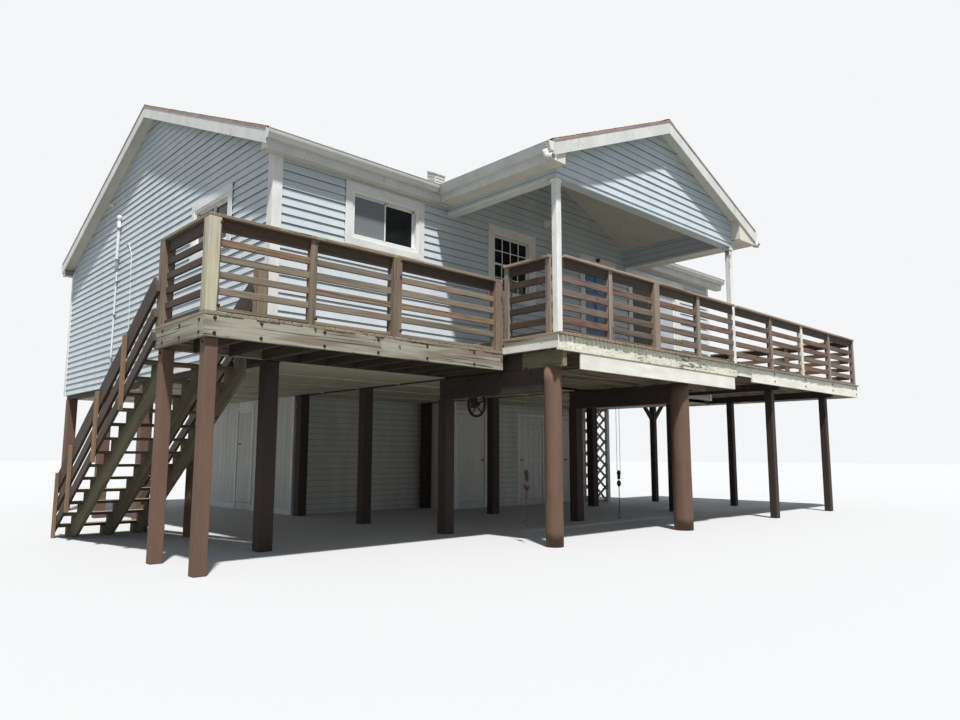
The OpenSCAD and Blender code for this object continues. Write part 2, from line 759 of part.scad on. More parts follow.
// Joists stop a joint's width short of the rim boards, and all carry the deck boards
module walkway_frame() {
    z0 = walkway_frame_z;
    z1 = walkway_z - board_t;
    t = joist_t;
    g = board_gap;
    right = deck_left_x - g;
    color("gray") from_corner() {
        box([stair_x, -walkway_w, z0], [right, -walkway_w + t, z1]);
        box([stair_x, -walkway_w + t + g, z0], [stair_x + t, landing_back, z1]);
        box([stair_x + t + g, landing_back - t, z0], [-g, landing_back, z1]);
        box([0, -t, z0], [right, 0, z1]);
        for (x = [stair_x + joist_pitch : joist_pitch : -t - g])
            box([x, -walkway_w + t + g, z0], [x + t, landing_back - t - g, z1]);
        for (x = [0 : joist_pitch : deck_left_x - 2 * t])
            box([x, -walkway_w + t + g, z0], [x + t, -t - g, z1]);
        box([right - t, -walkway_w + t + g, z0], [right, -t - g, z1]);
    }
}
module walkway_deck() {
    color("silver") from_corner() {
        box([stair_x, -walkway_w, walkway_z - board_t], [deck_left_x, 0, walkway_z]);
        box([stair_x, -1, walkway_z - board_t], [0, landing_back, walkway_z]);
    }
}
module porch_rims() {
    z0 = deck_frame_z;
    z1 = floor_z - board_t;
    t = joist_t;
    g = board_gap;
    front = -deck_front + t;
    color("ivory") from_corner() {
        box([deck_left_x, -deck_front, z1 - front_rim_h], [rim_joint_x - g, front, z1]);
        box([rim_joint_x, front - t + 15, z0], [rim2_x - g, front, z1]);
        box([rim2_x, -deck_front, z1 - right_rim_h], [deck_right_x, front, z1]);
        box([deck_left_x, front + g, z0], [deck_left_x + t, -t - g, z1]);
        box([deck_left_x, -t, z0], [house_l, 0, z1]);
        box([deck_right_x - t, front + g, z1 - right_rim_h], [deck_right_x, side_depth - t - g, z1]);
        box([house_l, side_depth - t, z0], [deck_right_x, side_depth, z1]);
        box([house_l + g, -t, z0], [house_l + g + t, side_depth - t - g, z1]);
    }
}
module porch_joists() {
    z0 = deck_frame_z;
    z1 = floor_z - board_t;
    t = joist_t;
    g = board_gap;
    color("tan") from_corner() {
        for (y = [-front_row : joist_pitch : -2 * t])
            box([deck_left_x + t + g, y - t / 2, z0], [deck_right_x - t - g, y + t / 2, z1]);
        for (y = [row_1 : joist_pitch : side_depth - 2 * t])
            box([house_l + 2 * g + t, y - t / 2, z0], [deck_right_x - t - g, y + t / 2, z1]);
    }
}
module inner_porch_frame() {
    t = joist_t;
    g = board_gap;
    front = -inner_front + inner_beam_t;
    color("ivory") from_corner() {
        box([inner_left_x, -inner_front, frame_z], [inner_right_x, front, deck_frame_z]);
        for (x = [inner_left_x, inner_right_x - t])
            box([x, front + g, frame_z], [x + t, 0, deck_frame_z]);
        for (y = [-front_row + joist_pitch : joist_pitch : -t])
            box([inner_left_x + t + g, y - t / 2, frame_z], [inner_right_x - t - g, y + t / 2, deck_frame_z]);
    }
}
module porch_deck() {
    color("lightgray") from_corner()
        box([deck_left_x, -deck_front, floor_z - board_t], [deck_right_x, 0, floor_z]);
}
module side_deck() {
    color("lightgray") from_corner()
        box([house_l, 0, floor_z - board_t], [deck_right_x, side_depth, floor_z]);
}

module stair_stringers() {
    z0 = walkway_z - rise - tread_t;
    run = (risers - 1) * going;
    // Foot of the sloping under edge, which starts straight below the first tread
    cut = (z0 - stringer_h) / rise * going;
    // Notches that carry the treads
    steps = [for (i = [1 : risers - 1]) for (b = [0, 1])
        [landing_back + (i - 1 + b) * going, walkway_z - i * rise - tread_t]];
    color("dimgray") from_corner() {
        for (x = [stair_x + 170, stair_x + stair_w / 2 + 60, stair_x + stair_w - 90])
            along_x(x, x + stringer_t) polygon(concat(steps, [[landing_back + run, 0],
                [landing_back + cut, 0], [landing_back, z0 - stringer_h]]));
    }
}
module stair_treads() {
    color("gray") from_corner() {
        for (i = [1 : risers - 1]) {
            y = landing_back + (i - 1) * going;
            z = walkway_z - i * rise;
            box([stair_x, y, z - tread_t], [stair_x + stair_w, y + tread_d, z]);
        }
    }
}
module stair_railing() {
    k = rise / going;
    // Upright depth of a board on the slope, for each unit of its own depth
    v = sqrt(1 + k * k);
    y1 = landing_back + (risers - 2) * going;
    y2 = y1 + 1.7 * post_w;
    inner_x = stair_x + stair_w;
    c = corner_post_w;
    // Height of the tread line under a point
    function nose(y) = walkway_z - rise - k * (y - landing_back);
    // A sloping board from y0, its upper edge at a height over the tread line
    module sloping(x, y0, up, h)
        along_x(x, x + rail_t) polygon([[y0, nose(y0) + up], [y0, nose(y0) + up - h * v],
            [y2, nose(y2) + up - h * v], [y2, nose(y2) + up]]);
    module upright(x, y, up)
        box([x, y - post_w / 2, max(0, nose(y) - rise)], [x + rail_t, y + post_w / 2, nose(y) + up]);
    color("gray") from_corner() {
        // Outer railing: boards on the ends of the treads, posts outside them
        for (y = [landing_back + 3.25 * going, landing_back + 6.85 * going, landing_back + 10.8 * going, y1])
            upright(stair_x - 2 * rail_t, y, stair_rail_h - 30);
        sloping(stair_x - rail_t, landing_back - 40, stair_rail_h, stair_top_board_h);
        sloping(stair_x - rail_t, landing_back - 40, stair_rail_h - stair_rail_step, stair_board_h);
        sloping(stair_x - rail_t, landing_back - 40, stair_rail_h - 1.7 * stair_rail_step, stair_board_h);
        // House's side: a newel on the landing, boards behind it and posts outside them
        box([inner_x, landing_back - c, walkway_z], [inner_x + c, landing_back, walkway_z + newel_h]);
        for (y = [landing_back + 6.85 * going, y1])
            upright(inner_x + rail_t, y, inner_stair_rail_h - 30);
        sloping(inner_x, landing_back, inner_stair_rail_h, stair_top_board_h);
        sloping(inner_x, landing_back, inner_stair_rail_h - inner_rail_step, stair_board_h);
        sloping(inner_x, landing_back, inner_stair_rail_h - 2 * inner_rail_step, stair_board_h);
        sloping(inner_x, landing_back, 120, stair_board_h);
    }
}

// A run of railing along +X from 0: posts, a flat cap, a top board, four rails and a thin board
module rail_run(l, posts, h, first, pitch, lower_h) {
    top = h - rail_t;
    box([0, -cap_w / 2, top], [l, cap_w / 2, h]);
    box([0, -rail_t / 2, top - top_board_h], [l, rail_t / 2, top + 1]);
    box([0, -rail_t / 2, rail_foot], [l, rail_t / 2, rail_foot + kick_board_h]);
    for (i = [0:3])
        box([0, -rail_t / 2, first + i * pitch], [l, rail_t / 2, first + i * pitch + lower_h]);
    for (p = posts)
        box([p[0] - p[1] / 2, -p[1] / 2, 0], [p[0] + p[1] / 2, p[1] / 2, top + 1]);
}
module walkway_railing() {
    c = corner_post_w;
    g = board_gap;
    l1 = walkway_w + landing_back;
    l2 = deck_left_x - stair_x - cap_w - g;
    n = round((l2 - c) / walkway_post_pitch) - 1;
    front_posts = [for (i = [1:n]) [i * walkway_post_pitch - cap_w / 2 - g, i == n ? c : post_w]];
    color("gray") from_corner() {
        translate([stair_x + cap_w / 2, -walkway_w, walkway_z]) rotate([0, 0, 90])
            rail_run(l1, [[c / 2, c], [l1 - c / 2, c]], rail_h, walkway_first_rail, walkway_rail_pitch,
                rail_board_h);
        translate([stair_x + cap_w + g, -walkway_w + cap_w / 2, walkway_z])
            rail_run(l2, concat(front_posts, [[l2 - c / 2, c]]), rail_h, walkway_first_rail,
                walkway_rail_pitch, rail_board_h);
    }
}
module porch_railing() {
    h = porch_rail_h;
    f = porch_first_rail;
    q = porch_rail_pitch;
    b = porch_board_h;
    p = post_w;
    half = cap_w / 2;
    g = board_gap;
    front_l = deck_right_x - deck_left_x;
    // Front posts, measured from the corner: two bays, two more to the porch post, then the open deck
    thick = p / 2 + 2 * porch_post_pitch;
    at_porch = porch_right_x - porch_post_w / 2 - deck_left_x;
    n = round((front_l - at_porch) / open_post_pitch);
    front_posts = concat([for (i = [0:1]) [p / 2 + i * porch_post_pitch, p]], [[thick, cap_w]],
        [[(thick + at_porch) / 2, p]],
        [for (i = [0:n]) [at_porch + i * (front_l - p / 2 - at_porch) / n, p]]);
    left_l = deck_front - walkway_w - cap_w - g;
    right_l = deck_front + side_depth - 2 * cap_w - 2 * g;
    back_l = side_reach;
    color("gray") from_corner() difference() {
        union() {
            translate([deck_left_x, -deck_front + half, floor_z])
                rail_run(front_l, front_posts, h, f, q, b);
            translate([deck_left_x + half, -deck_front + cap_w + g, floor_z]) rotate([0, 0, 90])
                rail_run(left_l, [[left_l - p / 2, p]], h, f, q, b);
            translate([deck_right_x - half, -deck_front + cap_w + g, floor_z]) rotate([0, 0, 90])
                rail_run(right_l, [for (i = [1:3]) [i * right_l / 3 - p / 2, p]], h, f, q, b);
            translate([house_l, side_depth - half, floor_z])
                rail_run(back_l, [[p / 2, p], [back_l / 2, p], [back_l - p / 2, p]], h, f, q, b);
        }
        // Notches that clear the posts of the porch roof
        for (x = [porch_left_x, porch_right_x - porch_post_w])
            box([x - g, -porch_d + (porch_beam_w - porch_post_w) / 2 - g, floor_z - 1],
                [x + porch_post_w + g, -porch_d + (porch_beam_w + porch_post_w) / 2 + g, floor_z + h + 1]);
    }
}

module storage_front_walls() {
    y = shed_right_y;
    t = shed_t;
    // Left edge and width of each doorway in the right room's front wall
    gaps = [[flush_door_x, shed_door_w], [panel_door_x, shed_door_w], [end_door_x, end_door_w]];
    color("lightsteelblue") from_corner() {
        box([shed_x + t, shed_front_y, 0], [shed_jog_x, shed_front_y + t, frame_z]);
        box([shed_jog_x, y, 0], [gaps[0][0], y + t, frame_z]);
        for (i = [0:1])
            box([gaps[i][0] + gaps[i][1], y, 0], [gaps[i + 1][0], y + t, frame_z]);
        box([gaps[2][0] + gaps[2][1], y, 0], [house_l, y + t, frame_z]);
    }
}
module storage_outer_walls() {
    t = shed_t;
    g = board_gap;
    y = shed_front_y + batten_door_y;
    color("whitesmoke") from_corner() {
        box([shed_x, shed_front_y, 0], [shed_x + t, y, frame_z]);
        box([shed_x, y + batten_door_w, 0], [shed_x + t, house_w, frame_z]);
        box([shed_jog_x, shed_right_y + t, 0], [shed_jog_x + t, shed_front_y, frame_z]);
        box([house_l - t, shed_right_y + t, 0], [house_l, house_w, frame_z]);
        box([shed_x + t + g, house_w - t, 0], [house_l - t - g, house_w, frame_z]);
    }
}
module storage_heads() {
    t = shed_t;
    y = shed_front_y + batten_door_y;
    color("lightsteelblue") from_corner() {
        for (z = [[0, kerb_h], [shed_head_z, frame_z]]) {
            for (x = [flush_door_x, panel_door_x])
                box([x, shed_right_y, z[0]], [x + shed_door_w, shed_right_y + t, z[1]]);
            box([end_door_x, shed_right_y, z[0]],
                [end_door_x + end_door_w, shed_right_y + t, z[1]]);
            box([shed_x, y, z[0]], [shed_x + t, y + batten_door_w, z[1]]);
        }
    }
}
// A door leaf in the right room's front wall, with the gap left all round
module shed_leaf(x, w) {
    translate([x + leaf_gap, shed_right_y, kerb_h + leaf_gap])
        cube([w - 2 * leaf_gap, leaf_t, door_h - 2 * leaf_gap]);
}
module flush_door() {
    color("white") from_corner() shed_leaf(flush_door_x, shed_door_w);
}
module end_door() {
    color("white") from_corner() shed_leaf(end_door_x, end_door_w);
}
module panelled_door() {
    g = leaf_gap;
    w = shed_door_w - 2 * g;
    h = door_h - 2 * g;
    rail = 120;
    pw = (w - 3 * rail) / 2;
    rows = [[rail + 80, 0.34 * h], [2 * rail + 80 + 0.34 * h, 0.28 * h],
        [3 * rail + 80 + 0.62 * h, 0.1 * h]];
    color("white") from_corner() difference() {
        shed_leaf(panel_door_x, shed_door_w);
        for (i = [0:1], r = rows)
            translate([panel_door_x + g + rail + i * (pw + rail), shed_right_y - 1, kerb_h + g + r[0]])
                cube([pw, 9, r[1]]);
    }
}
module batten_door() {
    g = leaf_gap;
    y = shed_front_y + batten_door_y;
    color("whitesmoke") from_corner()
        box([shed_x, y + g, kerb_h + g],
            [shed_x + leaf_t, y + batten_door_w - g, shed_head_z - g]);
}
// Slats crossed at 45 degrees inside a frame, with a thin post at the front end
module lattice_panel() {
    x = house_l - 30;
    y0 = shed_right_y - lattice_l;
    h = frame_z;
    n = floor((h + lattice_l) / slat_pitch);
    frame_w = 50;
    color("white") from_corner() {
        post(x, y0 - lattice_post_w / 2, lattice_post_w, 0, h);
        difference() {
            box([x - 15, y0, 0], [x + 15, shed_right_y, h]);
            box([x - 16, y0 + frame_w, frame_w], [x + 16, shed_right_y - frame_w, h - frame_w]);
        }
        intersection() {
            box([x - 15, y0 + 1, 1], [x + 15, shed_right_y - 1, h - 1]);
            union() {
                for (i = [1:n]) {
                    translate([x - 8, y0, i * slat_pitch]) rotate([-45, 0, 0])
                        translate([0, -slat_w, -slat_w / 2]) cube([8, 2 * lattice_l, slat_w]);
                    translate([x, y0, i * slat_pitch - lattice_l]) rotate([45, 0, 0])
                        translate([0, -slat_w, -slat_w / 2]) cube([8, 2 * lattice_l, slat_w]);
                }
            }
        }
    }
}
// The vent stands on the front slope, just left of the valley beside the porch roof
module roof_vent() {
    x = porch_eave_l + vent_y + eave_over - 25;
    y = vent_y;
    z = plate_z + roof_t + seat_gap + slope * y;
    color("white") from_corner() along_x(x - vent_w, x)
        polygon([[y, z], [y + vent_w, z + slope * vent_w], [y + vent_w, z + slope * vent_w + vent_h],
            [y, z + vent_h]]);
}

house_stilts();
front_piles();
hoist_beams();
hoist_wheel();
deck_beams();
floor_girders();
floor_joists();
underfloor();
floor();
front_wall();
back_wall();
left_gable_wall();
right_gable_wall();
main_roof_front();
main_roof_back();
porch_roof();
fascias();
soffits();
gutters();
porch_gable_walls();
porch_supports();
window_frames();
window_glass();
entry_door();
walkway_frame();
walkway_deck();
porch_rims();
porch_joists();
inner_porch_frame();
porch_deck();
side_deck();
stair_stringers();
stair_treads();
stair_railing();
walkway_railing();
porch_railing();
storage_front_walls();
storage_outer_walls();
storage_heads();
flush_door();
panelled_door();
end_door();
batten_door();
lattice_panel();
roof_vent();
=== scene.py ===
import math
import random
import bmesh
import bpy
from mathutils import Matrix, Vector


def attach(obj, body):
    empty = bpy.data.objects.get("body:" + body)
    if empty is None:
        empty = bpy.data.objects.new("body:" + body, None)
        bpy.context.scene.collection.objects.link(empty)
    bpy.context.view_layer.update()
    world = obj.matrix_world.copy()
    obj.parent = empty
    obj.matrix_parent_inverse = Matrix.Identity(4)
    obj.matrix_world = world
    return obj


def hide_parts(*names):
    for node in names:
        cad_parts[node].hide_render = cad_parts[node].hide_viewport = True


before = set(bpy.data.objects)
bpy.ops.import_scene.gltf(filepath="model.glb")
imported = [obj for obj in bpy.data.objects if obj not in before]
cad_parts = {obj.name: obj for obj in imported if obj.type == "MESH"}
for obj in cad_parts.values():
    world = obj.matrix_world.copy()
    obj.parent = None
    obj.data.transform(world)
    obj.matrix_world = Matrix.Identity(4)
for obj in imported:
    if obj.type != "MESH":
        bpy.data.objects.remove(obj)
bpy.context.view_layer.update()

# Floor and light
# A plain pale studio floor under one wide soft sun, with an even pale world around it.
# Reflections and glass see the same white that the camera sees behind the house.


def linear(hex_colour):
    """An sRGB hex colour as linear red, green, blue and alpha."""
    rgb = [int(hex_colour[i:i + 2], 16) / 255 for i in (1, 3, 5)]
    return [c / 12.92 if c <= 0.04045 else ((c + 0.055) / 1.055) ** 2.4 for c in rgb] + [1]


def add(tree, kind, sockets=None, **settings):
    """Adds a node to a tree: settings go to the node, values and links to its sockets."""
    node = tree.nodes.new(kind)
    for key, value in settings.items():
        setattr(node, key, value)
    for key, value in (sockets or {}).items():
        if isinstance(value, (bpy.types.Node, bpy.types.NodeSocket)):
            tree.links.new(value.outputs[0] if isinstance(value, bpy.types.Node) else value, node.inputs[key])
        else:
            node.inputs[key].default_value = value
    return node


def new_finish(name, roughness, **shader_sockets):
    """A material with a plain shader: the material, its tree and the shader node."""
    finish = bpy.data.materials.new(name)
    finish.use_nodes = True
    tree = finish.node_tree
    tree.nodes.clear()
    sockets = {"Roughness": roughness}
    sockets.update({key.replace("_", " "): value for key, value in shader_sockets.items()})
    shader = add(tree, "ShaderNodeBsdfPrincipled", sockets)
    add(tree, "ShaderNodeOutputMaterial", {"Surface": shader.outputs[0]})
    return finish, tree, shader


camera_data = bpy.data.cameras.new("camera")
camera_data.lens = 27.16
camera_data.clip_end = 400
camera = bpy.data.objects.new("camera", camera_data)
camera.location = (-4.545, -8.805, 1.225)
camera.rotation_euler = (math.radians(97.475), math.radians(-0.11), math.radians(-43.626))
bpy.context.collection.objects.link(camera)
bpy.context.scene.camera = camera
bpy.context.scene.view_settings.view_transform = "Standard"

world = bpy.data.worlds.new("studio")
bpy.context.scene.world = world
world.use_nodes = True
tree = world.node_tree
tree.nodes.clear()
path = add(tree, "ShaderNodeLightPath")
seen = add(tree, "ShaderNodeMath", {0: path.outputs["Is Camera Ray"], 1: path.outputs["Is Glossy Ray"]},
           operation="MAXIMUM")
seen = add(tree, "ShaderNodeMath", {0: seen.outputs[0], 1: path.outputs["Is Transmission Ray"]},
           operation="MAXIMUM")
soft = add(tree, "ShaderNodeBackground", {"Color": linear("#D6E1EE"), "Strength": 0.46})
backdrop = add(tree, "ShaderNodeBackground", {"Color": linear("#F4F6F8"), "Strength": 1.0})
mixed = add(tree, "ShaderNodeMixShader", {0: seen.outputs[0], 1: soft.outputs[0], 2: backdrop.outputs[0]})
add(tree, "ShaderNodeOutputWorld", {"Surface": mixed.outputs[0]})

sun_data = bpy.data.lights.new("sun", "SUN")
sun_data.energy = 6.3
sun_data.angle = math.radians(2.5)
sun_data.color = (1.0, 0.97, 0.93)
sun = bpy.data.objects.new("sun", sun_data)
sun.rotation_euler = Vector((0.6, 1.0, -2.7)).to_track_quat("-Z", "Y").to_euler()
bpy.context.collection.objects.link(sun)

floor_mesh = bpy.data.meshes.new("studio_floor")
floor_mesh.from_pydata([(-90, -60, -0.001), (120, -60, -0.001), (120, 150, -0.001), (-90, 150, -0.001)], [],
                       [(0, 1, 2, 3)])
studio_floor = bpy.data.objects.new("studio_floor", floor_mesh)
bpy.context.collection.objects.link(studio_floor)
# Matt paper: pale to the camera, darker to the light that it throws up, so the underside stays dim
studio_paper, tree, shader = new_finish("studio_paper", 0.9)
path = add(tree, "ShaderNodeLightPath")
seen = add(tree, "ShaderNodeMath", {0: path.outputs["Is Camera Ray"], 1: path.outputs["Is Glossy Ray"]},
           operation="MAXIMUM")
grey = add(tree, "ShaderNodeMix", {0: seen, 6: linear("#72726C"), 7: linear("#AFB1B3")}, data_type="RGBA")
tree.links.new(grey.outputs[2], shader.inputs["Base Color"])
floor_mesh.materials.append(studio_paper)

# Stilts
# Square treated pine posts and two round marine piles, set in the ground and stained brown.
# They carry the girders; the outer ones carry the decks. The stain has faded and worn at the foot.

# Millimetres from the corner of the walls to the frame's origin, and heights: the girders' underside,
# the foot and top of the upper floor's joists, the walkway's deck and the upper floor
inset = 95
girder_z, joist_foot, joist_top, walk_z, floor_z = 2440, 2682, 2862, 2723, 2900
# The two lines of stilts that carry the lift beams, and the underside of those beams
left_line, right_line, lift_foot = 3200, 6480, 2110


def at(x, y, z):
    """A point given in millimetres from the corner of the walls, in the frame's metres."""
    return Vector(((x - inset) / 1000, (y - inset) / 1000, z / 1000))


def plank(x0, y0, z0, x1, y1, z1, tint=0.5):
    """One board between two corners, its length along the longest side."""
    a, b = at(min(x0, x1), min(y0, y1), min(z0, z1)), at(max(x0, x1), max(y0, y1), max(z0, z1))
    d = b - a
    if d.x >= d.y and d.x >= d.z:
        size, turn = (d.x, d.y, d.z), (0, 0, 0)
    elif d.y >= d.z:
        size, turn = (d.y, d.x, d.z), (0, 0, math.pi / 2)
    else:
        size, turn = (d.z, d.y, d.x), (0, -math.pi / 2, 0)
    return ((a + b) / 2, size, turn, tint)


def slanted(p, q, width, height):
    """One board from point p to point q, its height square to its run in the upright plane."""
    run = q - p
    return ((p + q) / 2, (run.length, width, height), run.to_track_quat("X", "Z").to_euler(), 0.5)


def new_tree(name, inputs, output):
    """A node tree for geometry with named inputs and one output: the tree and its first node."""
    tree = bpy.data.node_groups.new(name, "GeometryNodeTree")
    for key, kind in inputs.items():
        tree.interface.new_socket(key, in_out="INPUT", socket_type="NodeSocket" + kind)
    tree.interface.new_socket(output, in_out="OUTPUT", socket_type="NodeSocketGeometry")
    return tree, add(tree, "NodeGroupInput")


# This tree lays a board on every point, with grain that runs along each board
laid_boards, start = new_tree("laid_boards", {"Points": "Geometry", "Seed": "Int", "Tint Spread": "Float",
                                              "Finish": "Material"}, "Boards")
given, spread, seed, finish = [start.outputs[key] for key in ("Points", "Tint Spread", "Seed", "Finish")]
store, read = "GeometryNodeStoreNamedAttribute", "GeometryNodeInputNamedAttribute"
size, turn, local, shift = [add(laid_boards, read, {"Name": key}, data_type="FLOAT_VECTOR").outputs[0]
                            for key in ("size", "turn", "local", "shift")]
tint = add(laid_boards, read, {"Name": "tint"}, data_type="FLOAT").outputs[0]
less = add(laid_boards, "ShaderNodeMath", {0: spread, 1: -1.0}, operation="MULTIPLY")
stray = add(laid_boards, "FunctionNodeRandomValue", {2: less, 3: spread, 8: seed}, data_type="FLOAT")
tint = add(laid_boards, "ShaderNodeMath", {0: tint, 1: stray.outputs[1]}, operation="ADD")
aside = add(laid_boards, "FunctionNodeRandomValue", {0: (0, 0, 0), 1: (60, 60, 60), 8: seed},
            data_type="FLOAT_VECTOR")
points = add(laid_boards, store, {"Geometry": given, "Name": "shift", "Value": aside},
             data_type="FLOAT_VECTOR", domain="POINT")
points = add(laid_boards, store, {"Geometry": points, "Name": "tint", "Value": tint},
             data_type="FLOAT", domain="POINT")
cube = add(laid_boards, "GeometryNodeMeshCube", {"Size": (1, 1, 1)}).outputs["Mesh"]
place = add(laid_boards, "GeometryNodeInputPosition")
cube = add(laid_boards, store, {"Geometry": cube, "Name": "local", "Value": place},
           data_type="FLOAT_VECTOR", domain="POINT")
laid = add(laid_boards, "GeometryNodeInstanceOnPoints", {"Points": points, "Instance": cube, "Rotation": turn,
                                                         "Scale": size})
laid = add(laid_boards, "GeometryNodeRealizeInstances", {"Geometry": laid})
grain = add(laid_boards, "ShaderNodeVectorMath", {0: local, 1: size, 2: shift}, operation="MULTIPLY_ADD")
laid = add(laid_boards, store, {"Geometry": laid, "Name": "grain", "Value": grain},
           data_type="FLOAT_VECTOR", domain="POINT")
laid = add(laid_boards, "GeometryNodeSetMaterial", {"Geometry": laid, "Material": finish})
add(laid_boards, "NodeGroupOutput", {"Boards": laid})


def show(name, mesh, node=None, body="house"):
    """Puts a finished mesh in the scene as a piece of the house."""
    piece = bpy.data.objects.new(name, mesh)
    bpy.context.collection.objects.link(piece)
    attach(piece, body)
    if node:
        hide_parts(*node.split())
    return piece


def grown(name, rows, columns, tree, inputs, edge=0):
    """Runs a node tree on one point for each row and keeps what it makes as a plain mesh. Columns are
    the further values of a row, stored on its point; inputs are the tree's, by name."""
    mesh = bpy.data.meshes.new(name)
    mesh.from_pydata([row[0] for row in rows], [], [])
    for i, (key, kind) in enumerate(columns.items(), 1):
        data = mesh.attributes.new(key, kind, "POINT").data
        if kind == "FLOAT":
            data.foreach_set("value", [row[i] for row in rows])
        else:
            data.foreach_set("vector", [c for row in rows for c in row[i]])
    maker = bpy.data.objects.new(name + "_points", mesh)
    bpy.context.collection.objects.link(maker)
    layer = maker.modifiers.new("grown", "NODES")
    layer.node_group = tree
    for item in tree.interface.items_tree:
        if item.name in inputs:
            layer[item.identifier] = inputs[item.name]
    if edge:
        bevel = maker.modifiers.new("edge", "BEVEL")
        bevel.width = edge
        bevel.segments = 1
    depsgraph = bpy.context.evaluated_depsgraph_get()
    made = bpy.data.meshes.new_from_object(maker.evaluated_get(depsgraph), preserve_all_data_layers=True,
                                           depsgraph=depsgraph)
    made.name = name
    for key in ("size", "turn", "shift", "local"):
        if key in made.attributes:
            made.attributes.remove(made.attributes[key])
    bpy.data.objects.remove(maker)
    return made


def boards(name, rows, finish, node=None, body="house", seed=1, spread=0.2, edge=0.004):
    """One piece of boards with softened edges; each row is what plank or slanted gives."""
    columns = {"size": "FLOAT_VECTOR", "turn": "FLOAT_VECTOR", "tint": "FLOAT"}
    inputs = {"Seed": seed, "Tint Spread": spread, "Finish": finish}
    return show(name, grown(name, rows, columns, laid_boards, inputs, edge), node, body)


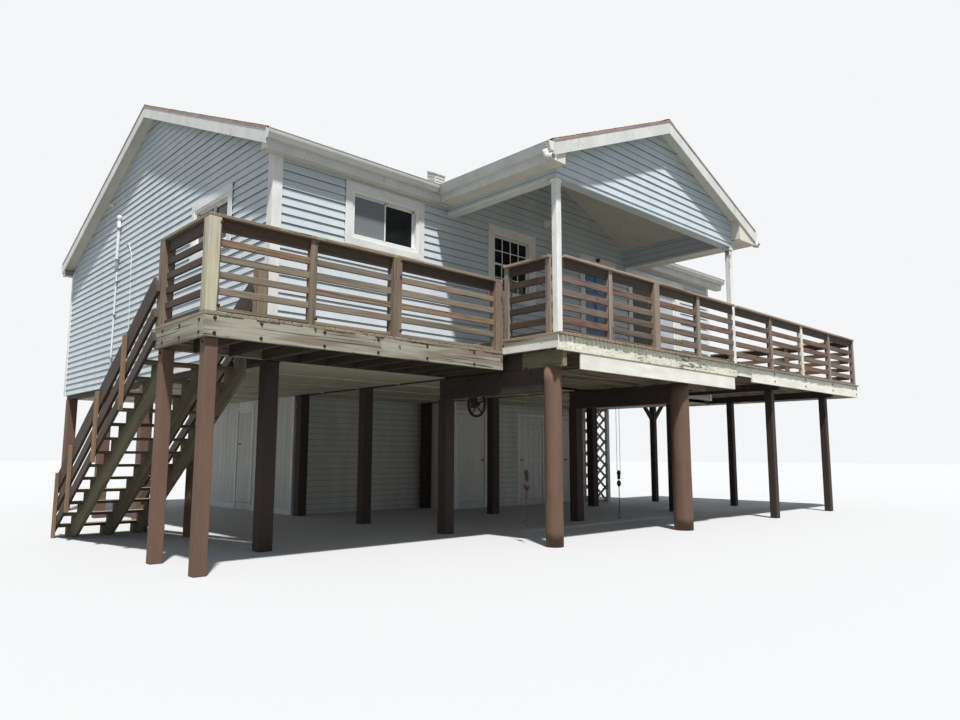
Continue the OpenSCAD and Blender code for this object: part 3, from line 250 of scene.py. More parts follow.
def timber(name, dark, light, fresh, paint=None, peel=0.5, mildew=0.0, roughness=0.8, relief=0.0016,
           spots="#3A3A30", streak=None):
    """Timber that shows its fibres, checks and knots, with old paint over it where a paint is given.
    Fibres are drawn 9 mm wide, as real ones of 1 mm would not show; knots are 20 to 40 mm across."""
    finish, tree, shader = new_finish(name, roughness)
    grain = add(tree, "ShaderNodeAttribute", attribute_name="grain").outputs["Vector"]
    tint = add(tree, "ShaderNodeAttribute", attribute_name="tint").outputs["Fac"]
    noise = {}
    for key, scale, detail, rough in (("fibre", (3.0, 110, 110), 4, 0.6), ("sweep", (0.7, 9, 9), 2, 0.5),
                                      ("check", (0.8, 42, 42), 2, 0.5), ("flake", (5, 22, 22), 6, 0.7),
                                      ("patch", (0.9, 3, 3), 1, 0.5), ("coat", (2, 7, 7), 3, 0.5),
                                      ("spot", (16, 26, 26), 5, 0.75)):
        place = add(tree, "ShaderNodeVectorMath", {0: grain, 1: scale}, operation="MULTIPLY")
        noise[key] = add(tree, "ShaderNodeTexNoise", {"Vector": place, "Scale": 1.0, "Detail": detail,
                                                      "Roughness": rough})
    mix, span, sums = "ShaderNodeMix", "ShaderNodeMapRange", "ShaderNodeMath"
    value = add(tree, sums, {0: noise["fibre"], 1: 0.6}, operation="MULTIPLY")
    value = add(tree, sums, {0: noise["sweep"], 1: 0.55, 2: value}, operation="MULTIPLY_ADD")
    value = add(tree, sums, {0: tint, 1: 0.35, 2: value}, operation="MULTIPLY_ADD")
    old = add(tree, span, {"Value": value, "From Min": 0.48, "From Max": 0.98})
    old = add(tree, mix, {0: old, 6: linear(dark), 7: linear(light)}, data_type="RGBA").outputs[2]
    new = add(tree, span, {"Value": noise["fibre"], "From Min": 0.35, "From Max": 0.65})
    new = add(tree, mix, {0: new, 6: linear(dark), 7: linear(fresh)}, data_type="RGBA").outputs[2]
    worn = add(tree, sums, {0: noise["sweep"], 1: 0.8, 2: tint}, operation="MULTIPLY_ADD")
    worn = add(tree, span, {"Value": worn, "From Min": 0.95, "From Max": 1.25})
    colour = add(tree, mix, {0: worn, 6: old, 7: new}, data_type="RGBA").outputs[2]
    if streak:
        band = add(tree, span, {"Value": noise["sweep"], "From Min": 0.5, "From Max": 0.4, "To Max": 0.7})
        colour = add(tree, mix, {0: band, 6: colour, 7: linear(streak)}, data_type="RGBA").outputs[2]
    checks = add(tree, span, {"Value": noise["check"], "From Min": 0.61, "From Max": 0.67})
    cell = add(tree, "ShaderNodeVectorMath", {0: grain, 1: (3.2, 8.0, 8.0)}, operation="MULTIPLY")
    knots = add(tree, "ShaderNodeTexVoronoi", {"Vector": cell, "Scale": 1.0})
    some = add(tree, "ShaderNodeSeparateXYZ", {0: knots.outputs["Color"]})
    some = add(tree, sums, {0: some, 1: 0.7}, operation="GREATER_THAN")
    knot = add(tree, span, {"Value": knots.outputs["Distance"], "From Min": 0.16, "From Max": 0.07})
    knot = add(tree, sums, {0: knot, 1: some}, operation="MULTIPLY")
    mark = add(tree, sums, {0: checks, 1: knot}, operation="MAXIMUM")
    mark = add(tree, sums, {0: mark, 1: 0.78}, operation="MULTIPLY")
    colour = add(tree, mix, {0: mark, 6: colour, 7: linear("#241B15")}, data_type="RGBA").outputs[2]
    height = add(tree, sums, {0: checks, 1: -1.0}, operation="MULTIPLY")
    height = add(tree, sums, {0: noise["fibre"], 1: 0.35, 2: height}, operation="MULTIPLY_ADD")
    if paint:
        flake = add(tree, sums, {0: noise["patch"], 1: 0.7, 2: noise["flake"]}, operation="MULTIPLY_ADD")
        kept = add(tree, span, {"Value": flake, "From Min": 1.32 - peel, "From Max": 1.28 - peel})
        coat = add(tree, span, {"Value": noise["coat"], "From Min": 0.3, "From Max": 0.7})
        coat = add(tree, mix, {0: coat, 6: linear(paint), 7: [c * 0.8 for c in linear(paint)[:3]] + [1]},
                   data_type="RGBA").outputs[2]
        if mildew:
            spot = add(tree, span, {"Value": noise["spot"], "From Min": 0.68 - 0.2 * mildew,
                                    "From Max": 0.74 - 0.1 * mildew, "To Max": 0.85})
            coat = add(tree, mix, {0: spot, 6: coat, 7: linear(spots)}, data_type="RGBA").outputs[2]
        colour = add(tree, mix, {0: kept, 6: colour, 7: coat}, data_type="RGBA").outputs[2]
        height = add(tree, sums, {0: height, 1: 0.6}, operation="MULTIPLY")
        height = add(tree, sums, {0: kept, 1: 0.8, 2: height}, operation="MULTIPLY_ADD")
    tree.links.new(colour, shader.inputs["Base Color"])
    bump = add(tree, "ShaderNodeBump", {"Height": height, "Distance": relief, "Strength": 0.9})
    tree.links.new(bump.outputs[0], shader.inputs["Normal"])
    return finish


# Brown stain over treated pine: matt, with grey wood where it has worn off
brown_stain = timber("brown_stained_pine", "#3B2A23", "#5C463B", "#6E4F40", paint="#6C5446", peel=0.14)
# A darker copy of the same stain for the stilts, beams and ledger under the house and decks: painted shade
shade_dark_stain = timber("painted_shade_brown_stained_pine", "#1E1815", "#33281F", "#3A2C22", paint="#352A24", peel=0.36)


def stilt(x, y, width, top=girder_z, tint=0.5):
    """A square stilt round its centre."""
    return plank(x - width / 2, y - width / 2, 0, x + width / 2, y + width / 2, top, tint)


outer = [stilt(95, y, 190) for y in (2350, 4600, 6850, 9255)]
outer += [stilt(-1301, y, 140, 2450, 0.6) for y in (-1250, -58)]
boards("outer_stilts", outer, brown_stain, edge=0.007)
# The stilts under the house take the darker copy of the stain: painted shade
inner = [stilt(x, 100, 190, top) for x, top in ((95, girder_z), (left_line, lift_foot),
                                                (right_line, lift_foot), (9900, girder_z))]
inner += [stilt(x, 2350, 190) for x in (left_line, right_line, 9900)]
inner += [stilt(x, 4600, 190) for x in (left_line, right_line)]
inner += [stilt(x, y, 190) for x in (6795, 9900) for y in (6850, 9255)]
inner += [stilt(12600, y, 140, 2532) for y in (100, 2350)]
boards("inner_stilts", inner, shade_dark_stain, "house_stilts", seed=2, edge=0.007)


def solid_mesh(name, points, faces, finish, smooth=False):
    """A closed mesh with its faces turned outwards; smooth rounds those with four sides."""
    mesh = bpy.data.meshes.new(name)
    mesh.from_pydata(points, [], faces)
    work = bmesh.new()
    work.from_mesh(mesh)
    bmesh.ops.recalc_face_normals(work, faces=work.faces)
    work.to_mesh(mesh)
    work.free()
    mesh.materials.append(finish)
    for polygon in mesh.polygons:
        polygon.use_smooth = smooth and len(polygon.vertices) == 4
    return mesh


def ring_faces(rings, sides, loop=False, first=0):
    """Faces that join rings of points, numbered from first, and close both ends, unless the last ring
    joins the first in a loop."""
    faces = []
    for r in range(rings if loop else rings - 1):
        a, b = first + r * sides, first + (r + 1) % rings * sides
        faces += [(a + k, a + (k + 1) % sides, b + (k + 1) % sides, b + k) for k in range(sides)]
    if not loop:
        last = first + (rings - 1) * sides
        faces += [tuple(range(first + sides - 1, first - 1, -1)), tuple(range(last, last + sides))]
    return faces


def grained(piece, along, tint=0.5):
    """Gives a piece the grain that a finish for timber reads, running along a direction."""
    mesh = piece.data
    side = Vector((0, 0, 1)).cross(along) if abs(along.z) < 0.9 else Vector((1, 0, 0))
    up = along.cross(side)
    rows = [c for v in mesh.vertices for c in (v.co.dot(along), v.co.dot(side), v.co.dot(up))]
    mesh.attributes.new("grain", "FLOAT_VECTOR", "POINT").data.foreach_set("vector", rows)
    mesh.attributes.new("tint", "FLOAT", "POINT").data.foreach_set("value", [tint] * len(mesh.vertices))


def round_pile(name, x, y, width, seed):
    """A round pile, slightly out of true, with long flats left by the peeling knife."""
    rng = random.Random(seed)
    sides, rings = 40, 13
    flats = [rng.uniform(-0.018, 0.0) for _ in range(sides)]
    points = []
    for k in range(rings):
        sway = 0.006 * math.sin(3.1 * k / rings + seed)
        for i in range(sides):
            a = 2 * math.pi * i / sides
            r = width / 2000 * (1 + flats[i] + 0.008 * math.sin(5 * a + k * 0.7)) * (1 - 0.015 * k / rings)
            points.append(at(x, y, girder_z * k / (rings - 1))
                          + Vector((r * math.cos(a) + sway, r * math.sin(a), 0)))
    mesh = solid_mesh(name, points, ring_faces(rings, sides), brown_stain, True)
    grained(show(name, mesh), Vector((0, 0, 1)), 0.7)


round_pile("left_marine_pile", left_line, -2150, 250, 3)
round_pile("right_marine_pile", right_line, -2150, 320, 8)
boards("front_deck_stilts", [stilt(x, -2150, 140, 2532, 0.4) for x in (9900, 12600)], shade_dark_stain,
       "front_piles", seed=3, edge=0.006)

# Beams and floor frame
# Doubled timber beams run front to back on the stilts. The joists over them are boxed in
# from below by cream panels with battens over the seams.
# Girders, lift beams and deck beams take the darker copy of the stain: painted shade
girders = [plank(x - 95, 30, girder_z, x + 95, 9420, 2670) for x in (125, left_line, right_line, 9900, 11325)]
boards("girders", girders, shade_dark_stain, "floor_girders", seed=4)
lift_beams = []
for x in (left_line, right_line):
    lift_beams.append(plank(x - 70, -2150, lift_foot, x + 2, 195, girder_z, 0.3))
    lift_beams.append(plank(x + 4, -2150, lift_foot + 2, x + 70, 195, girder_z - 2, 0.6))
boards("lift_beams", lift_beams, shade_dark_stain, "hoist_beams", seed=5, edge=0.006)
# Deck beams: where they begin and end, and how deep they hang below the joists
beams = [plank(x - 44, y0, foot, x + 44, y1, joist_foot) for x, y0, y1, foot in (
    (left_line, -1608, 0, girder_z), (9900, -2374, 0, 2532), (12600, -2374, 2412, 2532))]
beams += [slanted(at(12600 + side * 70, 2350, 2202), at(12600 + side * 550, 2350, joist_foot), 0.076, 0.085)
          for side in (-1, 1)]
boards("deck_beams_and_braces", beams, shade_dark_stain, "deck_beams", seed=6)
# The newer front length of the left beam: bare wood gone green
green_beam = timber("mildewed_beam_pine", "#5A5745", "#8D8972", "#8A7B5C", roughness=0.9)
front = plank(left_line - 44, -2374, girder_z, left_line + 44, -1610, joist_foot)
boards("left_beam_front", [front], green_beam, seed=10)
# Joists kept dry under the floor: rough from the saw, still tan
rough_pine = timber("rough_sawn_pine", "#6B5A45", "#9C8868", "#A98C63", roughness=0.85)
joists = [plank(30, y, 2670, 11420, y + 38, joist_top)
          for y in [30 + i * (9382 - 30) / 20 for i in range(21)]]
boards("floor_joists_sawn", joists, rough_pine, "floor_joists", seed=7, edge=0)

siding_foot, course_h = 2520, 122


def flat_finish(name, colours, roughness, stain=0.35, streaks=(1.0, 1.0, 0.25), relief=0.0004, spot=26.0,
                course=0):
    """A painted sheet or board finish on object coordinates: two close tones, run-down streaks
    and small stains, each drawn at 4 cm or more so that it shows from across the yard.
    On siding, a band just under the lap of each course is darkened: partly dirt, partly painted shade of the
    lap above. The course's height is given in mm."""
    mix, span, sums = "ShaderNodeMix", "ShaderNodeMapRange", "ShaderNodeMath"
    finish, tree, shader = new_finish(name, roughness)
    place = add(tree, "ShaderNodeTexCoord").outputs["Object"]
    stretched = add(tree, "ShaderNodeVectorMath", {0: place, 1: streaks}, operation="MULTIPLY").outputs[0]
    broad = add(tree, "ShaderNodeTexNoise", {"Vector": stretched, "Scale": 3.0, "Detail": 4.0}).outputs["Fac"]
    small = add(tree, "ShaderNodeTexNoise", {"Vector": stretched, "Scale": spot, "Detail": 5.0,
                                             "Roughness": 0.7}).outputs["Fac"]
    clean, worn, soiled = [linear(colour) for colour in colours]
    tone = add(tree, span, {"Value": broad, "From Min": 0.35, "From Max": 0.65})
    colour = add(tree, mix, {0: tone, 6: clean, 7: worn}, data_type="RGBA").outputs[2]
    dirt = add(tree, span, {"Value": small, "From Min": 0.58, "From Max": 0.8, "To Max": stain})
    colour = add(tree, mix, {0: dirt, 6: colour, 7: soiled}, data_type="RGBA").outputs[2]
    # Painted shade with some dirt: a dark band under each lap stands in for the lap's shadow
    if course:
        high = add(tree, "ShaderNodeSeparateXYZ", {0: place}).outputs[2]
        lap = add(tree, sums, {0: high, 1: 1000 / course, 2: -siding_foot / course}, operation="MULTIPLY_ADD")
        lap = add(tree, sums, {0: lap}, operation="FRACT")
        lap_dirt_and_shade = add(tree, span, {"Value": lap, "From Min": 0.885, "From Max": 0.975, "To Max": 0.75})
        colour = add(tree, mix, {0: lap_dirt_and_shade, 6: colour, 7: linear("#56605F")}, data_type="RGBA").outputs[2]
    bump = add(tree, "ShaderNodeBump", {"Height": small, "Distance": relief})
    tree.links.new(colour, shader.inputs["Base Color"])
    tree.links.new(bump.outputs[0], shader.inputs["Normal"])
    return finish


def paint_node(node, finish):
    """Gives a CAD piece its finish and leaves its mesh alone."""
    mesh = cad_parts[node].data
    mesh.materials.clear()
    mesh.materials.append(finish)


# Cream paint on plywood sheets: matt and slightly uneven, greyer where damp gets in
cream_panels = flat_finish("cream_painted_plywood", ("#D2CDB8", "#C6C1AC", "#8E8B79"), 0.6, stain=0.5)
paint_node("underfloor", cream_panels)
battens = []
for x0, x1 in ((220, 3105), (3295, 6385), (6575, 9805), (9995, 11230)):
    battens += [plank(x0, y - 22, 2426, x1, y + 22, girder_z) for y in range(1250, 9400, 1220)]
    middle = (x0 + x1) // 2
    battens.append(plank(middle, 36, 2428, middle + 40, 9414, 2439))
boards("underfloor_battens", battens, cream_panels, seed=8, spread=0, edge=0.002)
# Floorboards of the rooms: oiled, with a soft shine
oiled_boards = timber("oiled_floorboards", "#5E4630", "#94734F", "#A07C50", roughness=0.45, relief=0.0006)
rows = [plank(30, y, joist_top, 11420, y + 117, floor_z) for y in [30 + 117.375 * i for i in range(80)]]
boards("floorboards", rows, oiled_boards, "floor", seed=9, edge=0)

# Walls
# Stud walls clad in pale blue-grey vinyl lap siding, each course 122 mm to the weather,
# nailed through its top edge and hooked over the one below. White corner boards close the ends.
soffit_underside = 5253
eave_over = 150
slope = 0.425
house_l, house_w = 11450, 9450
ridge_x, porch_half = 5809, 2983


def hexahedra(name, pieces, finish, node=None):
    """Closed six-sided pieces from eight points each: four round the bottom, four round the top."""
    points = [p for piece in pieces for p in piece]
    faces = [face for i in range(len(pieces)) for face in ring_faces(2, 4, first=8 * i)]
    return show(name, solid_mesh(name, points, faces, finish), node)


def lap_courses(place, z0, z1, ends, holes=(), foot=siding_foot, proud=20):
    """Courses of lap siding between two heights: place(a, out, z) puts a point on the wall,
    ends(z) gives the wall's two ends at a height, and holes are (a0, a1, z0, z1)."""
    pieces = []
    base = foot + math.floor((z0 - foot) / course_h) * course_h
    while base < z1 - 1:
        bottom, top = max(base, z0), min(base + course_h, z1)
        levels = sorted({bottom, top} | {z for h in holes for z in h[2:] if bottom < z < top})
        for low, high in zip(levels, levels[1:]):
            if ends(low)[1] - ends(low)[0] < 20:
                continue
            out = [proud - (proud - 4) * (z - base) / course_h for z in (low, high)]
            cuts = sorted((h[0], h[1]) for h in holes if h[2] < high and h[3] > low)
            edges = [None] + [c for cut in cuts for c in cut] + [None]
            for a0, a1 in zip(edges[::2], edges[1::2]):
                quads = []
                for z, o in zip((low, high), out):
                    left = ends(z)[0] if a0 is None else a0
                    right = ends(z)[1] if a1 is None else a1
                    if right < left + 2:
                        left = (left + right) / 2 - 1
                        right = left + 2
                    quads += [place(left, 0, z), place(left, o, z), place(right, o, z), place(right, 0, z)]
                pieces.append(quads)
        base += course_h
    return pieces


# Vinyl: satin, with a faint pressed grain, grey streaks where rain runs down, and a band of painted shade
# with some dirt under each lap
blue_vinyl = flat_finish("pressed_vinyl_siding", ("#C6D1D8", "#BCC8D0", "#8D989C"), 0.48, stain=0.18,
                         streaks=(1, 1, 0.16), relief=0.0003, course=course_h)
# Painted plasterboard of the rooms, behind the siding
plaster = flat_finish("painted_plasterboard", ("#D8D4C9", "#D1CDC2", "#BDB9AE"), 0.75, stain=0.1)
for wall in ("front_wall", "back_wall", "left_gable_wall", "right_gable_wall"):
    paint_node(wall, plaster)


def opening(a, z, width, height):
    """The hole that a window's trim covers in the siding."""
    return (a - 112, a + width + 112, z - 20 if z == floor_z else z - 112, z + height + 112)


def ceiling_reach(z):
    """The ends of the wall under the porch ceiling at a height."""
    half = porch_half - (z - 5199) / slope
    return (max(3229, ridge_x - half), min(8050, ridge_x + half))


def gable_reach(z):
    """The ends of a main gable at a height."""
    cut = max(0, (z - 5450) / slope)
    return (cut, house_w - cut)


def front_face(a, out, z):
    """A point on the front wall."""
    return at(a, -out, z)


front_holes = [opening(1240, 4370, 1240, 720), opening(4135, 4010, 980, 1080),
               opening(6650, floor_z, 860, 2030), opening(8260, floor_z, 1800, 2030)]
front = lap_courses(front_face, siding_foot, soffit_underside, lambda z: (0, house_l), front_holes)
front += lap_courses(front_face, soffit_underside, 6455, ceiling_reach)
hexahedra("front_lap_siding", front, blue_vinyl)
for side, face, top, ends, holes in (
        ("left", lambda a, out, z: at(-out, a, z), 7450, gable_reach, [opening(1335, 4370, 1240, 720)]),
        ("right", lambda a, out, z: at(house_l + out, a, z), 7450, gable_reach,
         [opening(5680, 4370, 1240, 720)]),
        ("back", lambda a, out, z: at(a, house_w + out, z), soffit_underside, lambda z: (0, house_l),
         [opening(c - 620, 4370, 1240, 720) for c in (2290, 5725, 9160)])):
    courses = lap_courses(face, siding_foot, top, ends, holes)
    hexahedra(side + "_lap_siding", courses, blue_vinyl)

# White paint on timber trim: satin, chalky, with hairline runs of dirt
trim_paint = timber("white_painted_trim", "#6C675C", "#8A8576", "#8A8576", paint="#EBEDEC", peel=0.06,
                    mildew=0.22, roughness=0.5, relief=0.0007, spots="#8C9088")
corner_boards = []
for x, out in ((0, -1), (house_l, 1)):
    for y, way in ((0, 1), (house_w, -1)):
        width = 115 if (x, y) == (0, 0) else 70
        corner_boards.append(plank(x, y, 2515, x + out * 30, y + way * width, 5330))
        corner_boards.append(plank(x - out * width, y, 2515, x + out * 30, y - way * 30, soffit_underside))
boards("corner_boards", corner_boards, trim_paint, seed=11, edge=0.003)

# Roofs
# Plywood on rafters under brown three-tab asphalt shingles, 143 mm of each course showing.
# The porch roof meets the front slope in two valleys. White fascia boards carry the gutters.
tab_w, tab_show, tab_len = 305, 143, 205
pitch_angle = math.atan(slope)
roof_left, roof_right = -220, 11930
ridge_y = 4725
eave_top = 5541.25
porch_front = -2546


def tabs(start, stop, run, place, turn, keep):
    """Rows of shingle tabs on one slope: place(a, s) puts a point at a along the eave, s up the slope."""
    rows = []
    rng = random.Random(int(stop))
    for k in range(int(run / tab_show) + 1):
        s = min(k * tab_show + tab_len / 2 - 12, run - tab_len / 2)
        shift = tab_w / 2 * (k % 2)
        a = start + tab_w / 2 - shift
        while a < stop:
            width = min(a + tab_w / 2, stop) - max(a - tab_w / 2, start)
            centre = (min(a + tab_w / 2, stop) + max(a - tab_w / 2, start)) / 2
            if width > 20 and keep(centre, s):
                lift = rng.uniform(0, 2.5)
                rows.append((place(centre, s, 9 + lift), ((width - 9) / 1000, tab_len / 1000, 0.007), turn,
                             rng.uniform(0.1, 0.9)))
            a += tab_w
    return rows


def asphalt(name, tones):
    """Mineral granules on asphalt: dull and rough, each tab its own tone. Grit is drawn 5 mm wide."""
    finish, tree, shader = new_finish(name, 0.95)
    place = add(tree, "ShaderNodeTexCoord").outputs["Object"]
    tint = add(tree, "ShaderNodeAttribute", attribute_name="tint").outputs["Fac"]
    grit = add(tree, "ShaderNodeTexNoise", {"Vector": place, "Scale": 200.0, "Detail": 2.0})
    broad = add(tree, "ShaderNodeTexNoise", {"Vector": place, "Scale": 0.8, "Detail": 5.0})
    value = add(tree, "ShaderNodeMath", {0: grit, 1: 0.9, 2: tint}, operation="MULTIPLY_ADD")
    value = add(tree, "ShaderNodeMath", {0: broad, 1: 0.9, 2: value}, operation="MULTIPLY_ADD")
    value = add(tree, "ShaderNodeMapRange", {"Value": value, "From Min": 0.9, "From Max": 1.9})
    dark, light = linear(tones[0]), linear(tones[1])
    colour = add(tree, "ShaderNodeMix", {0: value, 6: dark, 7: light}, data_type="RGBA")
    bump = add(tree, "ShaderNodeBump", {"Height": grit, "Distance": 0.002})
    tree.links.new(colour.outputs[2], shader.inputs["Base Color"])
    tree.links.new(bump.outputs[0], shader.inputs["Normal"])
    return finish


# Shingles: worn brown; the underlay that shows between their slots is near black
brown_shingle = asphalt("brown_asphalt_shingle", ("#3B322C", "#6E6157"))
roof_deck = asphalt("shingle_underlay", ("#2B2623", "#3A342F"))
for roof in ("main_roof_front", "main_roof_back", "porch_roof"):
    paint_node(roof, roof_deck)

main_run = (ridge_y + eave_over) / math.cos(pitch_angle)
porch_run = porch_half / math.cos(pitch_angle)


def front_keep(x, s):
    """Whether a tab of the front slope lies outside the porch roof."""
    y = -eave_over + s * math.cos(pitch_angle)
    return y > porch_half - abs(x - ridge_x) - eave_over - 200


def front_place(x, s, up):
    """A point on the front slope: x along the eave, s up the slope, up above it."""
    return at(x, -eave_over + s * math.cos(pitch_angle) - up * math.sin(pitch_angle),
              eave_top + s * math.sin(pitch_angle) + up * math.cos(pitch_angle))


def back_place(x, s, up):
    """The same point on the back slope."""
    p = front_place(x, s, up)
    return Vector((p.x, (house_w - 2 * inset) / 1000 - p.y, p.z))


# Each tab lies a little flatter than the slope, on top of the one below
lie = pitch_angle - 0.028
rows = tabs(roof_left + 4, roof_right - 4, main_run, front_place, (lie, 0, 0), front_keep)
rows += tabs(roof_left + 4, roof_right - 4, main_run, back_place, (-lie, 0, 0), lambda x, s: True)
boards("main_roof_shingles", rows, brown_shingle, seed=20, spread=0.1, edge=0)


def left_place(y, s, up):
    """A point on the left slope of the porch roof: y along its eave."""
    return at(ridge_x - porch_half + s * math.cos(pitch_angle) - up * math.sin(pitch_angle), y,
              eave_top + s * math.sin(pitch_angle) + up * math.cos(pitch_angle))


def right_place(y, s, up):
    """The same point on the right slope."""
    p = left_place(y, s, up)
    return Vector(((2 * ridge_x - 2 * inset) / 1000 - p.x, p.y, p.z))


def porch_keep(y, s):
    """Whether a tab of the porch roof lies in front of the valley."""
    return y < -eave_over + s * math.cos(pitch_angle) + 200


quarter = Matrix.Rotation(math.pi / 2, 3, "Z")
left_turn = (Matrix.Rotation(-lie, 3, "Y") @ quarter).to_euler()
right_turn = (Matrix.Rotation(lie, 3, "Y") @ quarter).to_euler()
rows = tabs(porch_front + 4, 2833, porch_run, left_place, left_turn, porch_keep)
rows += tabs(porch_front + 4, 2833, porch_run, right_place, right_turn, porch_keep)
boards("porch_roof_shingles", rows, brown_shingle, seed=21, spread=0.1, edge=0)

# Ridge caps: bent shingles, 200 mm long and 165 mm to each side
caps = []
cap_size = (0.2, 0.165, 0.007)
main_ridge_z = eave_top + slope * (ridge_y + eave_over)
porch_ridge_z = eave_top + slope * porch_half
for k in range(int((roof_right - roof_left) / tab_show)):
    x = roof_left + 100 + k * tab_show
    for side in (-1, 1):
        place = at(min(x, roof_right - 100), ridge_y + side * 70, main_ridge_z - 12)
        caps.append((place, cap_size, (-side * pitch_angle, -0.03, 0), 0.3 + 0.4 * (k % 3) / 2))
for k in range(int((2760 - porch_front) / tab_show)):
    y = porch_front + 100 + k * tab_show
    for side in (-1, 1):
        tilt = Matrix.Rotation(side * pitch_angle, 3, "Y") @ Matrix.Rotation(-0.03, 3, "X")
        place = at(ridge_x + side * 70, y, porch_ridge_z - 12)
        caps.append((place, cap_size, (tilt @ quarter).to_euler(), 0.3 + 0.4 * (k % 3) / 2))
boards("ridge_caps", caps, brown_shingle, seed=22, spread=0.15, edge=0)

# White fascia paint: satin, streaked with black below the shingles
fascia_paint = flat_finish("white_fascia_paint", ("#DDDFDD", "#CDD0CE", "#5F625F"), 0.5, stain=0.7,
                           streaks=(1, 1, 0.4), spot=7)
paint_node("fascias", fascia_paint)
# Drip edge: thin steel, painted once, now pink with rust
rusty_edge = flat_finish("rusty_painted_steel", ("#8E6F66", "#A38F86", "#5A3A2C"), 0.6, stain=0.8,
                         streaks=(1, 1, 1), spot=14)
edges = []
for x in (roof_left - 3, roof_right + 3):
    for side in (-1, 1):
        y = ridge_y + side * (ridge_y + eave_over)
        edges.append(slanted(at(x, y, eave_top - 14), at(x, ridge_y, main_ridge_z - 14), 0.008, 0.034))
for side in (-1, 1):
    x = ridge_x + side * porch_half
    foot, peak = at(x, porch_front - 3, eave_top - 14), at(ridge_x, porch_front - 3, porch_ridge_z - 14)
    edges.append(slanted(foot, peak, 0.008, 0.034))
boards("drip_edges", edges, rusty_edge, seed=23, edge=0)

# Soffits
# Painted plywood closes the eaves from below; the porch ceiling follows its rafters.
# The box ends are closed with short returns behind the rake boards.

# Cream ceiling paint: matt, a little yellow in the shade
cream_paint = flat_finish("cream_ceiling_paint", ("#E0DDD0", "#D6D3C6", "#A19E93"), 0.6, stain=0.3)
paint_node("soffits", cream_paint)
returns = [plank(x, y, soffit_underside, x + 10, y + 128, 5400)
           for y in (-128, house_w) for x in (-198, 11898)]
boards("eave_returns", returns, trim_paint, seed=24, edge=0.002)
rake_soffits = []
for x0, x1 in ((-198, 0), (house_l, 11908)):
    for side in (-1, 1):
        y = ridge_y + side * (ridge_y + 100)
        low = 5455 - slope * 100
        rake_soffits.append(slanted(at((x0 + x1) / 2, y, low - 6), at((x0 + x1) / 2, ridge_y, 7463 - 6),
                                    (x1 - x0) / 1000, 0.011))
for x0 in (3089, 8190):
    low = eave_top + slope * (porch_half - abs(x0 - ridge_x)) - 156
    rake_soffits.append(slanted(at(x0, -2431, low), at(ridge_x, -2431, 6653), 0.184, 0.011))
boards("rake_soffits", rake_soffits, cream_paint, seed=25, edge=0)
# Closed ends of the porch eaves, between the gable and the rake boards
box_ends = []
for x0, x1 in ((2850, 3089), (8768, 8190)):
    tops = [eave_top + slope * (porch_half - abs(x - ridge_x)) - 152 for x in (x0, x1)]
    corners = ((x0, -2523, tops[0]), (x1, -2523, tops[1]), (x1, -2340, tops[1]), (x0, -2340, tops[0]))
    box_ends.append([at(x, y, 5251) for x, y, z in corners] + [at(x, y, z) for x, y, z in corners])
hexahedra("porch_eave_ends", box_ends, cream_paint)
# Battens over the seams of the ceiling's sheets
seams = []
for y in (-1800, -1200, -600):
    for x0 in (3231, 8048):
        low = 5199 + slope * (porch_half - abs(x0 - ridge_x)) - 3
        seams.append(slanted(at(x0, y, low), at(ridge_x, y, 6464), 0.02, 0.006))
boards("ceiling_battens", seams, cream_paint, seed=26, edge=0)

# Gutters
# Pressed steel K-section gutters, screwed to the fascias, with a rolled bright rim.
# The porch pair end in open elbows; the paint has stayed white apart from grey runs.

# White enamel on steel: half gloss
gutter_metal = flat_finish("white_enamelled_steel", ("#E0E2E1", "#D3D6D6", "#9A9C99"), 0.35, stain=0.35,
                           streaks=(1, 1, 0.5), spot=9)
gutter_top = eave_top - 38
# Outer side of the K section: distance out from the fascia and height under the rim, in mm
k_section = [(0, 0), (0, -125), (62, -125), (66, -112), (74, -88), (92, -60), (98, -34), (98, -12),
             (104, -10), (107, -2), (103, 4), (95, 2), (92, -8), (92, -32), (86, -56), (68, -84), (58, -119),
             (5, -119), (5, 0)]
end_plate = k_section[:7] + [(98, -2)]


def gutter(name, start, stop, out, node=None):
    """A gutter between two points of the fascia's face, opening upwards; out points away from it."""
    points, faces = [], []
    inwards = (stop - start).normalized() * 0.002
    for section, p, q in ((k_section, start, stop), (end_plate, start + inwards, start + inwards * 2),
                          (end_plate, stop - inwards, stop - inwards * 2)):
        faces += ring_faces(2, len(section), first=len(points))
        points += [r + out * (o / 1000) + Vector((0, 0, z / 1000)) for r in (p, q) for o, z in section]
    show(name, solid_mesh(name, points, faces, gutter_metal), node)


porch_left, porch_right = ridge_x - porch_half, ridge_x + porch_half
forth, back = Vector((0, -1, 0)), Vector((0, 1, 0))
leftward, rightward = Vector((-1, 0, 0)), Vector((1, 0, 0))
eave_back = house_w + eave_over
for name, x0, y0, x1, y1, out, node in (
        ("front_left_gutter", roof_left, -eave_over, porch_left - 104, -eave_over, forth, "gutters"),
        ("front_right_gutter", porch_right + 104, -eave_over, roof_right, -eave_over, forth, None),
        ("back_gutter", roof_left, eave_back, roof_right, eave_back, back, None),
        ("porch_left_gutter", porch_left, porch_front + 10, porch_left, -eave_over, leftward, None),
        ("porch_right_gutter", porch_right, porch_front + 10, porch_right, -eave_over, rightward, None)):
    gutter(name, at(x0, y0, gutter_top), at(x1, y1, gutter_top), out, node)


